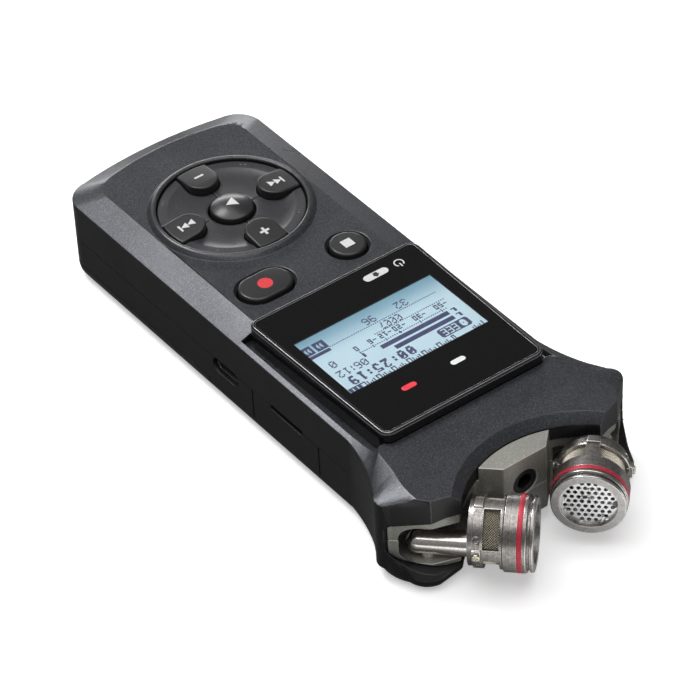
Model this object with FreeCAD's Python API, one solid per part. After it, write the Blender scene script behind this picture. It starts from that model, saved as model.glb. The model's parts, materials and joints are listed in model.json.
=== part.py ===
import FreeCAD, Part
import math
import os

# Portable field recorder with two swivelling microphones, lying on its back.
# Built with y = 0 at the base end and the microphones towards +Y, face up (+Z).
# Every shape is moved at the end so that the origin is the middle of the footprint.
# Millimetres.

Vector = FreeCAD.Vector
Z_AXIS = Vector(0, 0, 1)

# ---- case -----------------------------------------------------------------
BODY_LENGTH = 142.5       # base end to the tips of the horns
BODY_WIDTH = 51.6         # straight part of the case
HORN_WIDTH = 66.0         # across the two horns
THICKNESS = 26.0          # back to the top of the display frame
WALL = 1.6                # moulded wall
SEAM_Z = 11.3             # joint between rear and front case
SEAM_GAP = 0.15           # visible joint line between two mouldings
RIDGE_Z = 21.2            # outer edge of the bevel round the face
DECK_Z = 23.4             # flat of the face
BEVEL_WIDTH = 6.2         # plan width of the bevel along the sides
BACK_EDGE = 3.2           # rounding of the back's edge
CORNER_REACH = 8.8        # how far the base corners run up the sides
END_BOW = 1.9             # bow of the base end over its straight part
FIT_GAP = 0.15            # clearance between a piece and the case it sits in

# ---- horns, measured back from their tips ----------------------------------
FLARE_START = 30.5
FLARE_END = 17.5
SHOULDER_START = 13.3
SHOULDER_MID = 10.7
SHOULDER_END = 8.1
HORN_TIP_IN = 18.8        # inner end of each horn, from the centre line
HORN_KNEE_IN = 25.2       # where the front edge of a horn turns
ARC_DEPTH = 8.2           # the hollow between the horns
BAND = 2.0                # plan width of the chamfer round that hollow
MOUTH_TOP_Z = 17.5        # lower edge of the front case over the microphone arms
MOUTH_LOW_Z = 3.5         # top of the rear case's lip under the arms
MOUTH_SIDE = 9.2          # where the cases stop at the horns' sides, from the tips
MOUTH_BACK = 15.5         # back of the metal chassis, from the tips
MOUTH_KNEE = 22.0         # where the mouth's upper and lower edges start to close in
MOUTH_RISE = 1.2          # rise of its lower edge towards the side
MOUTH_FALL = 2.0          # fall of its upper edge towards the side
MOUTH_CORNER = 5.1        # rounding of its lower outer corner
NOSE_FRONT = 2.3          # front face of the nose, from the tips
NOSE_HALF = 5.85          # half width of the nose's front face
NOSE_REACH = 10.5         # half width of the nose where it meets the horns
NOSE_TOP_Z = 21.0
LIP_OUT = 1.0             # how far the rear case's lip stands in front of the horn
LIP_RUN_Z = 8.7           # height at which the lip has run out into the horn
SLOT_END = 3.0            # metal left outside the arm's slot, from the horn's side
SLOT_CORNER = 3.2

# ---- display ----------------------------------------------------------------
FRAME_LENGTH = 49.2
FRAME_FRONT = 21.8        # mic end of the display frame, from the horn tips
FRAME_HALF_BASE = 22.9
FRAME_HALF_FRONT = 21.9
FRAME_RIM = 1.1
FRAME_WALL = 2.2
FRAME_CORNER = 2.6
FRAME_SEAT_Z = 20.2
TRENCH = 1.4              # gap beside the frame, inside the ridge
WINDOW_THICK = 1.0
WINDOW_SINK = 0.15        # window below the frame's edge
MASK_THICK = 0.3
LCD_WIDTH = 37.4
LCD_LENGTH = 21.0
LCD_FROM_FRAME = 11.8     # base edge of the picture, from the frame's base edge
LCD_BORDER = 0.8
LCD_THICK = 2.0
LAMP_LENGTH = 3.8
LAMP_WIDTH = 1.5
LAMP_FROM_FRONT = 10.4    # lamps, from the frame's mic end
PEAK_X = -5.6
REC_X = 7.7

# ---- keys -------------------------------------------------------------------
WHEEL_Y = 33.8
WHEEL_RADIUS = 17.25
WHEEL_LIP_WIDTH = 2.1
WHEEL_LIP_HEIGHT = 1.15
KEY_GAP = 0.3
KEY_TRAVEL = 0.5
PLAY_RADIUS = 5.0
CROSS_KEY_WIDTH = 8.0
CROSS_KEY_INNER = 8.0     # inner end of the four raised keys, from the wheel's centre
CROSS_KEY_TOP = 25.0
PLAY_TOP = 25.1
QUAD_RIM_TOP = 23.8
QUAD_DISH_TOP = 22.9
KEY_BASE_Z = 19.4
KEY_FLANGE = 0.7          # flange under a key's cap
DOT_RADIUS = 0.22
STOP_X = -12.2
STOP_Y = 61.5
STOP_RADIUS = 4.3
RECORD_X = 10.3
RECORD_Y = 61.1
RECORD_RADIUS = 4.4
RECORD_STRETCH = 2.2      # half the straight run of the long record key
ROUND_KEY_TOP = 24.1
DISH_DEPTH = 1.0          # depth of the bowl round the stop and record keys
DISH_WIDTH = 0.9

# ---- microphones --------------------------------------------------------------
PIVOT_X = 23.3
PIVOT_FROM_TIP = 6.1      # pivot, back from the horn tips
ARM_Z = 8.1
ARM_RADIUS = 2.75
ELBOW_REACH = 2.1         # centre of the arm's round end, beyond its pivot
POST_RADIUS = 1.9
TRUNNION_RADIUS = 1.2
TRUNNION_PLAY = 0.05
MIC_Z = 12.2
MIC_ANGLE = 45.0          # inwards from straight ahead, microphones closed
BACK_DISC_FROM_PIVOT = 9.1
BACK_DISC_RADIUS = 7.5
BACK_DISC_THICK = 1.1
FLANGE_RADIUS = 7.9
FLANGE_THICK = 1.9
TAB_HEIGHT = 0.5
TAB_WIDTH = 3.0
CAGE_RADIUS = 7.9
CAGE_WALL = 0.9
CAGE_LENGTH = 4.4
WINDOW_ANGLE = 68.0       # opening of each of the four cage windows
RING_RADIUS = 8.4
RING_LENGTH = 6.6
RING_BORE = 6.3
BAND_FROM_BACK = 3.1      # coloured band, from the ring's back
BAND_LENGTH = 1.1
BAND_DEPTH = 0.35
FACE_RADIUS = 8.15
FACE_THICK = 0.9
FACE_GROOVE = 0.5
GRILLE_SINK = 1.1
GRILLE_THICK = 0.6
GRILLE_PITCH = 1.45
GRILLE_HOLE = 0.47
MESH_THICK = 0.25
CAPSULE_RADIUS = 4.9
CAPSULE_LENGTH = 4.5
CAP_SCREW_TURN = 62.0     # cap screws, round from the top and the bottom
CAP_SCREW_RADIUS = 0.7
CAP_SCREW_LENGTH = 1.5

# ---- power ----------------------------------------------------------------------
CELL_RADIUS = 7.1
CELL_LENGTH = 50.0
CELL_GAP = 0.5
CELL_START = 6.2
DOOR_END = 59.0           # mic end of the battery door, from the base end
DOOR_TOP_Z = 3.8
TRAY_WALL = 0.9

# ---- sockets ---------------------------------------------------------------------
USB_Y = 66.0
USB_WIDTH = 9.0
USB_HEIGHT = 3.2
USB_DEPTH = 7.3
CARD_Y = 89.0
CARD_WIDTH = 11.0
CARD_THICK = 0.8
CARD_LENGTH = 15.0
CARD_SINK = 0.9
CARD_TRAVEL = 0.8
JACK_BORE = 1.8
JACK_BODY = 3.0
PHONES_LENGTH = 12.0
MIC_JACK_LENGTH = 10.4
MIC_JACK_Z = 14.2
PHONES_Y = 100.0
ROCKER_Y = 74.0
ROCKER_LENGTH = 14.0
ROCKER_HEIGHT = 4.2
ROCKER_PIN = 0.6
HOLD_Y = 48.0
HOLD_TRAVEL = 3.0
TRIPOD_Y = 84.0
TRIPOD_BORE = 2.6         # minor radius of a quarter inch tripod thread
TRIPOD_BODY = 5.0
TRIPOD_DEPTH = 6.5
SPEAKER_Y = 106.0
SPEAKER_RADIUS = 9.0
BOARD_THICK = 1.0
MAIN_BOARD_Z = 9.2
KEY_BOARD_Z = 17.2
SCREW_RADIUS = 1.0

# ---- worked out from the sizes above ------------------------------------------------
HALF_BODY = BODY_WIDTH / 2
HALF_HORN = HORN_WIDTH / 2
CEILING_Z = RIDGE_Z - 1.0
LOW_CEILING_Z = FRAME_SEAT_Z - WALL
SIDE_KEY_Z = LOW_CEILING_Z - JACK_BODY - 0.1
USB_Z = SEAM_Z - 1.6
ROCKER_PIN_X = -HALF_BODY + WALL + 0.9
SLOT_LOW_Z = MOUTH_LOW_Z + 1.4
SLOT_TOP_Z = MOUTH_TOP_Z - 2.6
PIVOT_Y = BODY_LENGTH - PIVOT_FROM_TIP
FRAME_END = BODY_LENGTH - FRAME_FRONT
FRAME_START = FRAME_END - FRAME_LENGTH
FACE_FROM_PIVOT = BACK_DISC_FROM_PIVOT + BACK_DISC_THICK + FLANGE_THICK + CAGE_LENGTH + RING_LENGTH
MIC_LEAN = math.radians(MIC_ANGLE)
TOTAL_LENGTH = PIVOT_Y + FACE_FROM_PIVOT * math.cos(MIC_LEAN) + FACE_RADIUS * math.sin(MIC_LEAN)
LCD_START = FRAME_START + LCD_FROM_FRAME
LAMP_Y = FRAME_END - LAMP_FROM_FRONT

parts = {}


# ---- helpers ---------------------------------------------------------------------
def tip(distance):
    """Y of a place this far back from the horn tips."""
    return BODY_LENGTH - distance


def path_wire(start, steps, z):
    """Closed wire of straight runs (x, y) and arcs ((mid), (end)) at height z."""
    edges = []
    here = Vector(start[0], start[1], z)
    for step in steps:
        if isinstance(step[0], tuple):
            middle = Vector(step[0][0], step[0][1], z)
            there = Vector(step[1][0], step[1][1], z)
            edges.append(Part.Arc(here, middle, there).toShape())
        else:
            there = Vector(step[0], step[1], z)
            edges.append(Part.makeLine(here, there))
        here = there
    return Part.Wire(edges)


def prism(wire, height):
    return Part.Face(wire).extrude(Vector(0, 0, height))


def box(x0, x1, y0, y1, z0, z1):
    return Part.makeBox(x1 - x0, y1 - y0, z1 - z0, Vector(x0, y0, z0))


def post(x, y, z0, z1, radius):
    return Part.makeCylinder(radius, z1 - z0, Vector(x, y, z0), Z_AXIS)


def pill(x, y, z0, z1, radius, stretch):
    """Upright stadium, its straight run along X."""
    if stretch <= 0:
        return post(x, y, z0, z1, radius)
    middle = box(x - stretch, x + stretch, y - radius, y + radius, z0, z1)
    ends = [post(x - stretch, y, z0, z1, radius), post(x + stretch, y, z0, z1, radius)]
    return middle.fuse(ends).removeSplitter()


def mirror_x(shape):
    return shape.mirror(Vector(0, 0, 0), Vector(1, 0, 0))


def turned(profile, axis_point, axis):
    """Solid of revolution of a closed list of 3-D points."""
    wire = Part.makePolygon(profile + [profile[0]])
    return Part.Face(wire).revolve(axis_point, axis, 360)


def add(name, shape):
    parts[name] = shape


# ---- case outlines ------------------------------------------------------------------
def case_outline(z, side_in=0.0, base_in=0.0, band=0.0, horn_in=0.0, lip=0.0):
    """Plan outline of the case. The insets narrow it to the flat of the face."""
    half = HALF_BODY - side_in
    end_half = HALF_BODY - 6.3 - side_in * 0.7
    side = tip(FLARE_START)
    flare_mid = (half + 1.4 + horn_in * 0.2, tip(23.6))
    flare_end = (HALF_HORN - 3.6 - horn_in * 0.8, tip(FLARE_END + horn_in * 0.6))
    shoulder_start = (HALF_HORN - 1.3 - horn_in, tip(SHOULDER_START + horn_in * 0.2))
    shoulder_mid = (HALF_HORN - horn_in * 1.05 - lip * 0.9, tip(SHOULDER_MID - lip * 2))
    shoulder_end = (HALF_HORN - 1.7 - horn_in * 0.69 - lip * 0.9, tip(SHOULDER_END - lip * 4 - horn_in * 0.58))
    knee = (HORN_KNEE_IN, tip(2.1 - lip * 3))
    flank = ((shoulder_end[0] + knee[0]) / 2 + lip * 0.6, (shoulder_end[1] + knee[1]) / 2 + lip * 1.1)
    inner_tip = (HORN_TIP_IN + band, tip(band * 0.33))
    apex = (0.0, tip(ARC_DEPTH + band))
    corner = (end_half + (half - end_half) * 0.72, base_in + CORNER_REACH * 0.27 + END_BOW * 0.9)
    corner_end = (half, base_in + CORNER_REACH)
    end = (end_half, base_in + END_BOW)

    def flip(point):
        return (-point[0], point[1])

    steps = [
        (corner, corner_end),
        (half, side),
        (flare_mid, flare_end),
        shoulder_start,
        (shoulder_mid, shoulder_end),
        (flank, knee) if lip else knee,
        inner_tip,
        (apex, flip(inner_tip)),
        flip(knee),
        (flip(flank), flip(shoulder_end)) if lip else flip(shoulder_end),
        (flip(shoulder_mid), flip(shoulder_start)),
        flip(flare_end),
        (flip(flare_mid), (-half, side)),
        (-half, corner_end[1]),
        (flip(corner), flip(end)),
        ((0.0, base_in), end),
    ]
    return path_wire(end, steps, z)


def cavity(z0, z1, inset):
    """Inside of the case, behind the horns' chassis."""
    wire = case_outline(z0).makeOffset2D(-inset)
    inside = prism(wire, z1 - z0)
    return inside.common(box(-HALF_HORN, HALF_HORN, 0, tip(MOUTH_BACK + WALL), z0, z1))


def mouth_opening(gap):
    """Front view of the mouth, run through the horns; its outer corners are round."""
    low = MOUTH_LOW_Z + gap
    high = MOUTH_TOP_Z - gap
    edge = HALF_HORN - 0.4 - gap
    outline = [
        (MOUTH_KNEE, low),
        (edge - MOUTH_CORNER, low + MOUTH_RISE),
        ((edge - MOUTH_CORNER * 0.33, low + MOUTH_RISE + MOUTH_CORNER * 0.33),
         (edge, low + MOUTH_RISE + MOUTH_CORNER)),
        (edge, high - MOUTH_FALL - 1.6),
        ((edge - 0.45, high - MOUTH_FALL - 0.45), (edge - 1.6, high - MOUTH_FALL)),
        (MOUTH_KNEE, high),
        (0, high),
        (0, low),
    ]
    flat = Part.Face(path_wire((0, low), outline[:-1] + [(0, low)], 0))
    flat.rotate(Vector(0, 0, 0), Vector(1, 0, 0), 90)
    half = flat.extrude(Vector(0, -BODY_LENGTH - 10, 0))
    half.translate(Vector(0, BODY_LENGTH + 10, 0))
    return half.fuse(mirror_x(half)).removeSplitter()


def mouth(z0, z1):
    """Space that the cases leave at the front for the metal chassis."""
    back = tip(MOUTH_BACK)
    between_walls = prism(case_outline(z0).makeOffset2D(-WALL), z1 - z0)
    between_walls = between_walls.common(box(-HALF_HORN, HALF_HORN, back, BODY_LENGTH, z0, z1))
    in_front = box(-HALF_HORN - 1, HALF_HORN + 1, tip(MOUTH_SIDE), BODY_LENGTH + 9, z0, z1)
    middle = box(-HORN_TIP_IN, HORN_TIP_IN, back, BODY_LENGTH, z0, z1)
    return between_walls.fuse([in_front, middle]).common(mouth_opening(0))


# ---- keys: where each one is and its plan shape -----------------------------------------
def cross_key_plan(angle, margin, z0, z1):
    """Bullet shape that points at the wheel's centre."""
    half = CROSS_KEY_WIDTH / 2 + margin
    centre = CROSS_KEY_INNER + CROSS_KEY_WIDTH / 2
    outer = WHEEL_RADIUS - KEY_GAP
    bar = box(centre, outer + 3, -half, half, z0, z1)
    nose = post(centre, 0, z0, z1, half)
    shape = bar.fuse(nose)
    shape.rotate(Vector(0, 0, 0), Z_AXIS, angle)
    shape.translate(Vector(0, WHEEL_Y, 0))
    return shape.common(post(0, WHEEL_Y, z0, z1, outer))


def make_cross_key(angle):
    """Raised key, its top falling slightly towards the wheel's edge."""
    key = cross_key_plan(angle, 0, KEY_BASE_Z + KEY_FLANGE, CROSS_KEY_TOP)
    slope = turned(
        [
            Vector(0, WHEEL_Y, CROSS_KEY_TOP + 2),
            Vector(0, WHEEL_Y, CROSS_KEY_TOP + 0.1),
            Vector(CROSS_KEY_INNER + 1.5, WHEEL_Y, CROSS_KEY_TOP + 0.1),
            Vector(WHEEL_RADIUS, WHEEL_Y, CROSS_KEY_TOP - 0.7),
            Vector(WHEEL_RADIUS + 3, WHEEL_Y, CROSS_KEY_TOP - 0.7),
            Vector(WHEEL_RADIUS + 3, WHEEL_Y, CROSS_KEY_TOP + 2),
        ],
        Vector(0, WHEEL_Y, 0),
        Z_AXIS,
    )
    key = key.cut(slope)
    foot = cross_key_plan(angle, 0, KEY_BASE_Z, KEY_BASE_Z + KEY_FLANGE)
    return key.fuse(foot).removeSplitter()


def quadrant_ring():
    """Dished ring that the four quadrant keys are cut from."""
    inner = PLAY_RADIUS + 2 * KEY_GAP
    outer = WHEEL_RADIUS - KEY_GAP
    rim = outer - 2.0
    return turned(
        [
            Vector(inner, WHEEL_Y, KEY_BASE_Z),
            Vector(outer, WHEEL_Y, KEY_BASE_Z),
            Vector(outer, WHEEL_Y, QUAD_RIM_TOP - 0.25),
            Vector(outer - 0.3, WHEEL_Y, QUAD_RIM_TOP),
            Vector(rim, WHEEL_Y, QUAD_RIM_TOP),
            Vector(rim - 0.5, WHEEL_Y, QUAD_RIM_TOP - 0.2),
            Vector(rim - 3.0, WHEEL_Y, QUAD_DISH_TOP + 0.1),
            Vector(inner + 3.2, WHEEL_Y, QUAD_DISH_TOP),
            Vector(inner + 0.6, WHEEL_Y, QUAD_DISH_TOP + 0.2),
            Vector(inner, WHEEL_Y, QUAD_DISH_TOP),
        ],
        Vector(0, WHEEL_Y, 0),
        Z_AXIS,
    )


def make_quadrant_key(angle):
    """Quarter of the dished ring, cut round its two neighbours, with two touch dots."""
    top = QUAD_RIM_TOP + 1
    key = quadrant_ring()
    x_side = 1 if math.cos(math.radians(angle)) > 0 else -1
    y_side = 1 if math.sin(math.radians(angle)) > 0 else -1
    reach = WHEEL_RADIUS + 1
    near = KEY_GAP / 2
    xs = sorted((x_side * near, x_side * reach))
    ys = sorted((WHEEL_Y + y_side * near, WHEEL_Y + y_side * reach))
    key = key.common(box(xs[0], xs[1], ys[0], ys[1], KEY_BASE_Z, top))
    neighbours = (0 if x_side > 0 else 180, 90 if y_side > 0 else 270)
    for neighbour in neighbours:
        key = key.cut(cross_key_plan(neighbour, KEY_GAP, KEY_BASE_Z - 1, top))
    for offset in (-2.0, 2.0):
        direction = math.radians(angle + offset)
        radius = WHEEL_RADIUS - KEY_GAP - 1.2
        dot_x = radius * math.cos(direction)
        dot_y = WHEEL_Y + radius * math.sin(direction)
        key = key.fuse(Part.makeSphere(DOT_RADIUS, Vector(dot_x, dot_y, QUAD_RIM_TOP)))
    return key.removeSplitter()


def make_play_key():
    edge = 0.9
    return turned(
        [
            Vector(0, WHEEL_Y, KEY_BASE_Z),
            Vector(PLAY_RADIUS, WHEEL_Y, KEY_BASE_Z),
            Vector(PLAY_RADIUS, WHEEL_Y, PLAY_TOP - edge),
            Vector(PLAY_RADIUS - 0.35, WHEEL_Y, PLAY_TOP - 0.45),
            Vector(PLAY_RADIUS - 1.1, WHEEL_Y, PLAY_TOP - 0.2),
            Vector(PLAY_RADIUS * 0.5, WHEEL_Y, PLAY_TOP - 0.05),
            Vector(0, WHEEL_Y, PLAY_TOP),
        ],
        Vector(0, WHEEL_Y, 0),
        Z_AXIS,
    )


def make_domed_key(x, y, radius, stretch):
    """Round or long key with a softened top edge."""
    key = pill(x, y, KEY_BASE_Z, ROUND_KEY_TOP, radius, stretch)
    edge = 0.7
    rim = [e for e in key.Edges if e.BoundBox.ZMin > ROUND_KEY_TOP - 0.01]
    return key.makeFillet(edge, rim)


def pill_wire(x, y, z, radius, stretch):
    """Outline of a pill at height z."""
    right = (x + stretch, y + radius)
    left = (x - stretch, y - radius)
    if stretch <= 0:
        return path_wire(left, [((x + radius, y), right), ((x - radius, y), left)], z)
    steps = [(x + stretch, y - radius), ((x + stretch + radius, y), right)]
    steps += [(x - stretch, y + radius), ((x - stretch - radius, y), left)]
    return path_wire(left, steps, z)


def key_bowl(x, y, radius, stretch):
    """Bowl and shaft cut in the face for the stop or record key."""
    low = radius + KEY_GAP
    rim = radius + DISH_WIDTH
    shaft = pill(x, y, CEILING_Z - 3, DECK_Z + 1, low, stretch)
    levels = [
        pill_wire(x, y, DECK_Z - DISH_DEPTH, low - 0.02, stretch),
        pill_wire(x, y, DECK_Z - DISH_DEPTH * 0.45, low + (rim - low) * 0.72, stretch),
        pill_wire(x, y, DECK_Z + 0.01, rim, stretch),
    ]
    return shaft.fuse(Part.makeLoft(levels, True, True))


CROSS_KEYS = {"key_plus": 90, "key_skip_forward": 0, "key_minus": 270, "key_skip_back": 180}
QUADRANT_KEYS = {"key_quick": 45, "key_menu": 135, "key_playback": 225, "key_mark": 315}


# ---- front case ---------------------------------------------------------------------
def frame_plan(z0, z1, margin, corner):
    """Display frame's plan: a slight taper towards the microphones, round corners."""
    base_half = FRAME_HALF_BASE + margin
    front_half = FRAME_HALF_FRONT + margin
    y0 = FRAME_START - margin
    y1 = FRAME_END + margin
    points = [Vector(-base_half, y0, z0), Vector(base_half, y0, z0)]
    points += [Vector(front_half, y1, z0), Vector(-front_half, y1, z0)]
    solid = Part.Face(Part.makePolygon(points + [points[0]])).extrude(Vector(0, 0, z1 - z0))
    upright = [e for e in solid.Edges if abs(e.tangentAt(e.FirstParameter).z) > 0.9]
    return solid.makeFillet(corner, upright)


def make_front_case():
    lower = prism(case_outline(SEAM_Z + SEAM_GAP), RIDGE_Z - SEAM_Z - SEAM_GAP)
    ridge = case_outline(RIDGE_Z)
    flat = case_outline(DECK_Z, side_in=BEVEL_WIDTH, base_in=4.6, band=BAND, horn_in=BEVEL_WIDTH)
    shell = lower.fuse(Part.makeLoft([ridge, flat], True, True)).removeSplitter()
    lip = turned(
        [
            Vector(WHEEL_RADIUS, WHEEL_Y, DECK_Z - 1),
            Vector(WHEEL_RADIUS + WHEEL_LIP_WIDTH, WHEEL_Y, DECK_Z - 1),
            Vector(WHEEL_RADIUS + WHEEL_LIP_WIDTH, WHEEL_Y, DECK_Z),
            Vector(WHEEL_RADIUS + WHEEL_LIP_WIDTH * 0.8, WHEEL_Y, DECK_Z + WHEEL_LIP_HEIGHT * 0.42),
            Vector(WHEEL_RADIUS + WHEEL_LIP_WIDTH * 0.55, WHEEL_Y, DECK_Z + WHEEL_LIP_HEIGHT * 0.84),
            Vector(WHEEL_RADIUS + WHEEL_LIP_WIDTH * 0.3, WHEEL_Y, DECK_Z + WHEEL_LIP_HEIGHT),
            Vector(WHEEL_RADIUS + WHEEL_LIP_WIDTH * 0.1, WHEEL_Y, DECK_Z + WHEEL_LIP_HEIGHT * 0.92),
            Vector(WHEEL_RADIUS, WHEEL_Y, DECK_Z + WHEEL_LIP_HEIGHT * 0.7),
        ],
        Vector(0, WHEEL_Y, 0),
        Z_AXIS,
    )
    shell = shell.fuse(lip)
    cuts = [cavity(SEAM_Z, LOW_CEILING_Z, WALL)]
    key_room = cavity(LOW_CEILING_Z - 0.5, CEILING_Z, WALL)
    cuts.append(key_room.common(box(-HALF_BODY, HALF_BODY, 0, FRAME_START - 2 * WALL, SEAM_Z, CEILING_Z)))
    cuts.append(mouth(SEAM_Z, MOUTH_TOP_Z))
    cuts.append(post(0, WHEEL_Y, CEILING_Z - 3, DECK_Z + 2, WHEEL_RADIUS))
    cuts.append(key_bowl(STOP_X, STOP_Y, STOP_RADIUS, 0))
    cuts.append(key_bowl(RECORD_X, RECORD_Y, RECORD_RADIUS, RECORD_STRETCH))
    cuts.append(frame_plan(FRAME_SEAT_Z, DECK_Z + 2, FIT_GAP, FRAME_CORNER))
    trench_half = HALF_BODY - TRENCH
    for side in (-1, 1):
        xs = sorted((side * (FRAME_HALF_FRONT - 2), side * trench_half))
        cuts.append(box(xs[0], xs[1], FRAME_START, FRAME_END - 1, FRAME_SEAT_Z, DECK_Z + 2))
    view_half = FRAME_HALF_FRONT - 2.0
    cuts.append(box(-view_half, view_half, FRAME_START + 2, FRAME_END - 2, SEAM_Z, DECK_Z + 2))
    cuts.append(usb_slot())
    cuts.append(card_slot())
    cuts.append(side_slot(ROCKER_Y, ROCKER_LENGTH + 2 * KEY_GAP, ROCKER_HEIGHT + 2 * KEY_GAP))
    cuts.append(side_slot(HOLD_Y, 7.0 + HOLD_TRAVEL + 2 * KEY_GAP, 3.2))
    cuts.append(phones_hole())
    case = shell.cut(cuts)
    room = SIDE_KEY_Z - ROCKER_HEIGHT / 2 - KEY_GAP
    roof = SIDE_KEY_Z + ROCKER_HEIGHT / 2 + KEY_GAP
    lugs = []
    for z0, z1 in ((room - 1.0, room), (roof, LOW_CEILING_Z + 0.1)):
        lugs.append(box(-HALF_BODY + WALL - 0.1, ROCKER_PIN_X + 1.2, ROCKER_Y - 1.2, ROCKER_Y + 1.2, z0, z1))
    case = case.fuse(lugs)
    pin_hole = post(ROCKER_PIN_X, ROCKER_Y, room - 2, LOW_CEILING_Z, ROCKER_PIN + TRUNNION_PLAY)
    return case.cut(pin_hole).removeSplitter()


def usb_slot():
    return rounded_slot_x(HALF_BODY - 4, HALF_BODY + 1, USB_Y, USB_Z, USB_WIDTH + 0.6, USB_HEIGHT + 0.6)


def rounded_slot_x(x0, x1, y, z, width, height):
    """Stadium slot through a side wall: long in Y, round ends."""
    radius = height / 2
    run = width / 2 - radius
    middle = box(x0, x1, y - run, y + run, z - radius, z + radius)
    ends = []
    for end in (-run, run):
        ends.append(Part.makeCylinder(radius, x1 - x0, Vector(x0, y + end, z), Vector(1, 0, 0)))
    return middle.fuse(ends).removeSplitter()


def card_slot():
    half = CARD_WIDTH / 2 + 0.4
    card_z = SEAM_Z - 0.6
    return box(HALF_BODY - 4, HALF_BODY + 1, CARD_Y - half, CARD_Y + half, card_z - 0.1, card_z + 1.3)


def side_slot(y, length, height):
    """Slot in the left wall for a side control."""
    z = SIDE_KEY_Z
    return box(-HALF_BODY - 1, -HALF_BODY + 3, y - length / 2, y + length / 2, z - height / 2, z + height / 2)


def phones_hole():
    start = Vector(-HALF_BODY - 1, PHONES_Y, SIDE_KEY_Z)
    return Part.makeCylinder(JACK_BODY + FIT_GAP, 4, start, Vector(1, 0, 0))


# ---- rear case and battery door ---------------------------------------------------------
def rear_solid():
    """Outer form of the rear case with a rounded back edge."""
    upper = prism(case_outline(BACK_EDGE), SEAM_Z - BACK_EDGE)
    layers = 5
    previous = case_outline(BACK_EDGE, lip=LIP_OUT)
    solid = upper.fuse(Part.makeLoft([previous, case_outline(LIP_RUN_Z, lip=0.01)], True, True))
    for index in range(1, layers + 1):
        angle = math.radians(90 * index / layers)
        inset = BACK_EDGE * (1 - math.cos(angle)) + 0.001
        z = BACK_EDGE * (1 - math.sin(angle))
        outline = case_outline(0, lip=LIP_OUT).makeOffset2D(-inset)
        outline.translate(Vector(0, 0, z))
        solid = solid.fuse(Part.makeLoft([outline, previous], True, True))
        previous = outline
    return solid.removeSplitter()


def door_region(gap):
    """Part of the case that the battery door takes the place of."""
    return box(-HALF_HORN, HALF_HORN, -1, DOOR_END + gap, -1, DOOR_TOP_Z + gap)


def make_rear_case(solid):
    cuts = [cavity(WALL, SEAM_Z + 1, WALL)]
    cuts.append(mouth(MOUTH_LOW_Z, SEAM_Z + 1))
    cuts.append(door_region(SEAM_GAP))
    cuts.append(usb_slot())
    cuts.append(card_slot())
    cuts.append(phones_hole())
    cuts.append(post(0, TRIPOD_Y, -1, WALL + 1, TRIPOD_BODY + FIT_GAP))
    for row in range(-3, 4):
        half = math.sqrt(max(SPEAKER_RADIUS ** 2 - (row * 2.2) ** 2, 4)) - 1.5
        y = SPEAKER_Y + row * 2.2
        cuts.append(pill(0, y, -1, WALL + 1, 0.5, half))
    for x, y in screw_places():
        cuts.append(post(x, y, -1, WALL + 0.4, SCREW_RADIUS + 1.1))
    for y in (tip(66.2), tip(41.7)):
        cuts.append(box(HALF_BODY - 0.4, HALF_BODY + 1, y - 0.15, y + 0.15, BACK_EDGE, SEAM_Z))
    case = solid.cut(cuts)
    bosses = []
    for x, y in screw_places():
        boss = post(x, y, WALL, SEAM_Z - 0.2, SCREW_RADIUS + 1.6)
        bosses.append(boss.cut(post(x, y, 0, SEAM_Z, SCREW_RADIUS + 0.15)))
    case = case.fuse(bosses)
    for x, y in screw_places():
        case = case.cut(post(x, y, -1, WALL + 0.4, SCREW_RADIUS + 1.1))
        case = case.cut(post(x, y, -1, SEAM_Z + 1, SCREW_RADIUS + 0.15))
    inside = HALF_BODY - WALL
    ledge = box(-inside, inside, DOOR_END + SEAM_GAP, DOOR_END + WALL, WALL + FIT_GAP, SEAM_Z - 1)
    ledge = ledge.fuse(box(1 - inside, inside - 1, DOOR_END - 1, DOOR_END + WALL, WALL + FIT_GAP, SEAM_Z - 1))
    tray_half = 2 * CELL_RADIUS + CELL_GAP + TRAY_WALL
    ledge = ledge.cut(box(-tray_half, tray_half, 0, DOOR_END + 9, 0, SEAM_Z))
    return case.fuse(ledge).removeSplitter()


def screw_places():
    """Four screws through the back, clear of the door."""
    near_door = DOOR_END + 6.0
    near_horn = tip(MOUTH_BACK + 5.5)
    x = HALF_BODY - WALL - 3.2
    return [(-x, near_door), (x - 8.5, near_door), (-x, near_horn), (x, near_horn)]


def make_battery_door(solid):
    """Sliding door that wraps the back's edges, with a thumb ribbing."""
    skin = solid.common(door_region(0))
    inner = case_outline(WALL).makeOffset2D(-WALL - 0.4)
    inside = prism(inner, DOOR_TOP_Z)
    door = skin.cut(inside.common(box(-HALF_HORN, HALF_HORN, -1, DOOR_END + 1, WALL, DOOR_TOP_Z + 1)))
    for index in range(5):
        y = DOOR_END - 6 - index * 2.0
        door = door.cut(box(-7, 7, y - 0.4, y + 0.4, -1, 0.35))
    return door


# ---- metal chassis that carries the microphones --------------------------------------
def arm_slot(side):
    """Room that a microphone arm swings in; its outer end has round corners."""
    outer = HALF_HORN - SLOT_END
    y0 = tip(MOUTH_BACK - 2.0)
    slot = box(HORN_TIP_IN - 8.0, outer, y0, BODY_LENGTH + 20, SLOT_LOW_Z, SLOT_TOP_Z)
    edges = [e for e in slot.Edges if e.BoundBox.XMin > outer - 0.01 and e.BoundBox.YLength > 1]
    slot = slot.makeFillet(SLOT_CORNER, edges)
    return slot if side > 0 else mirror_x(slot)


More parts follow.
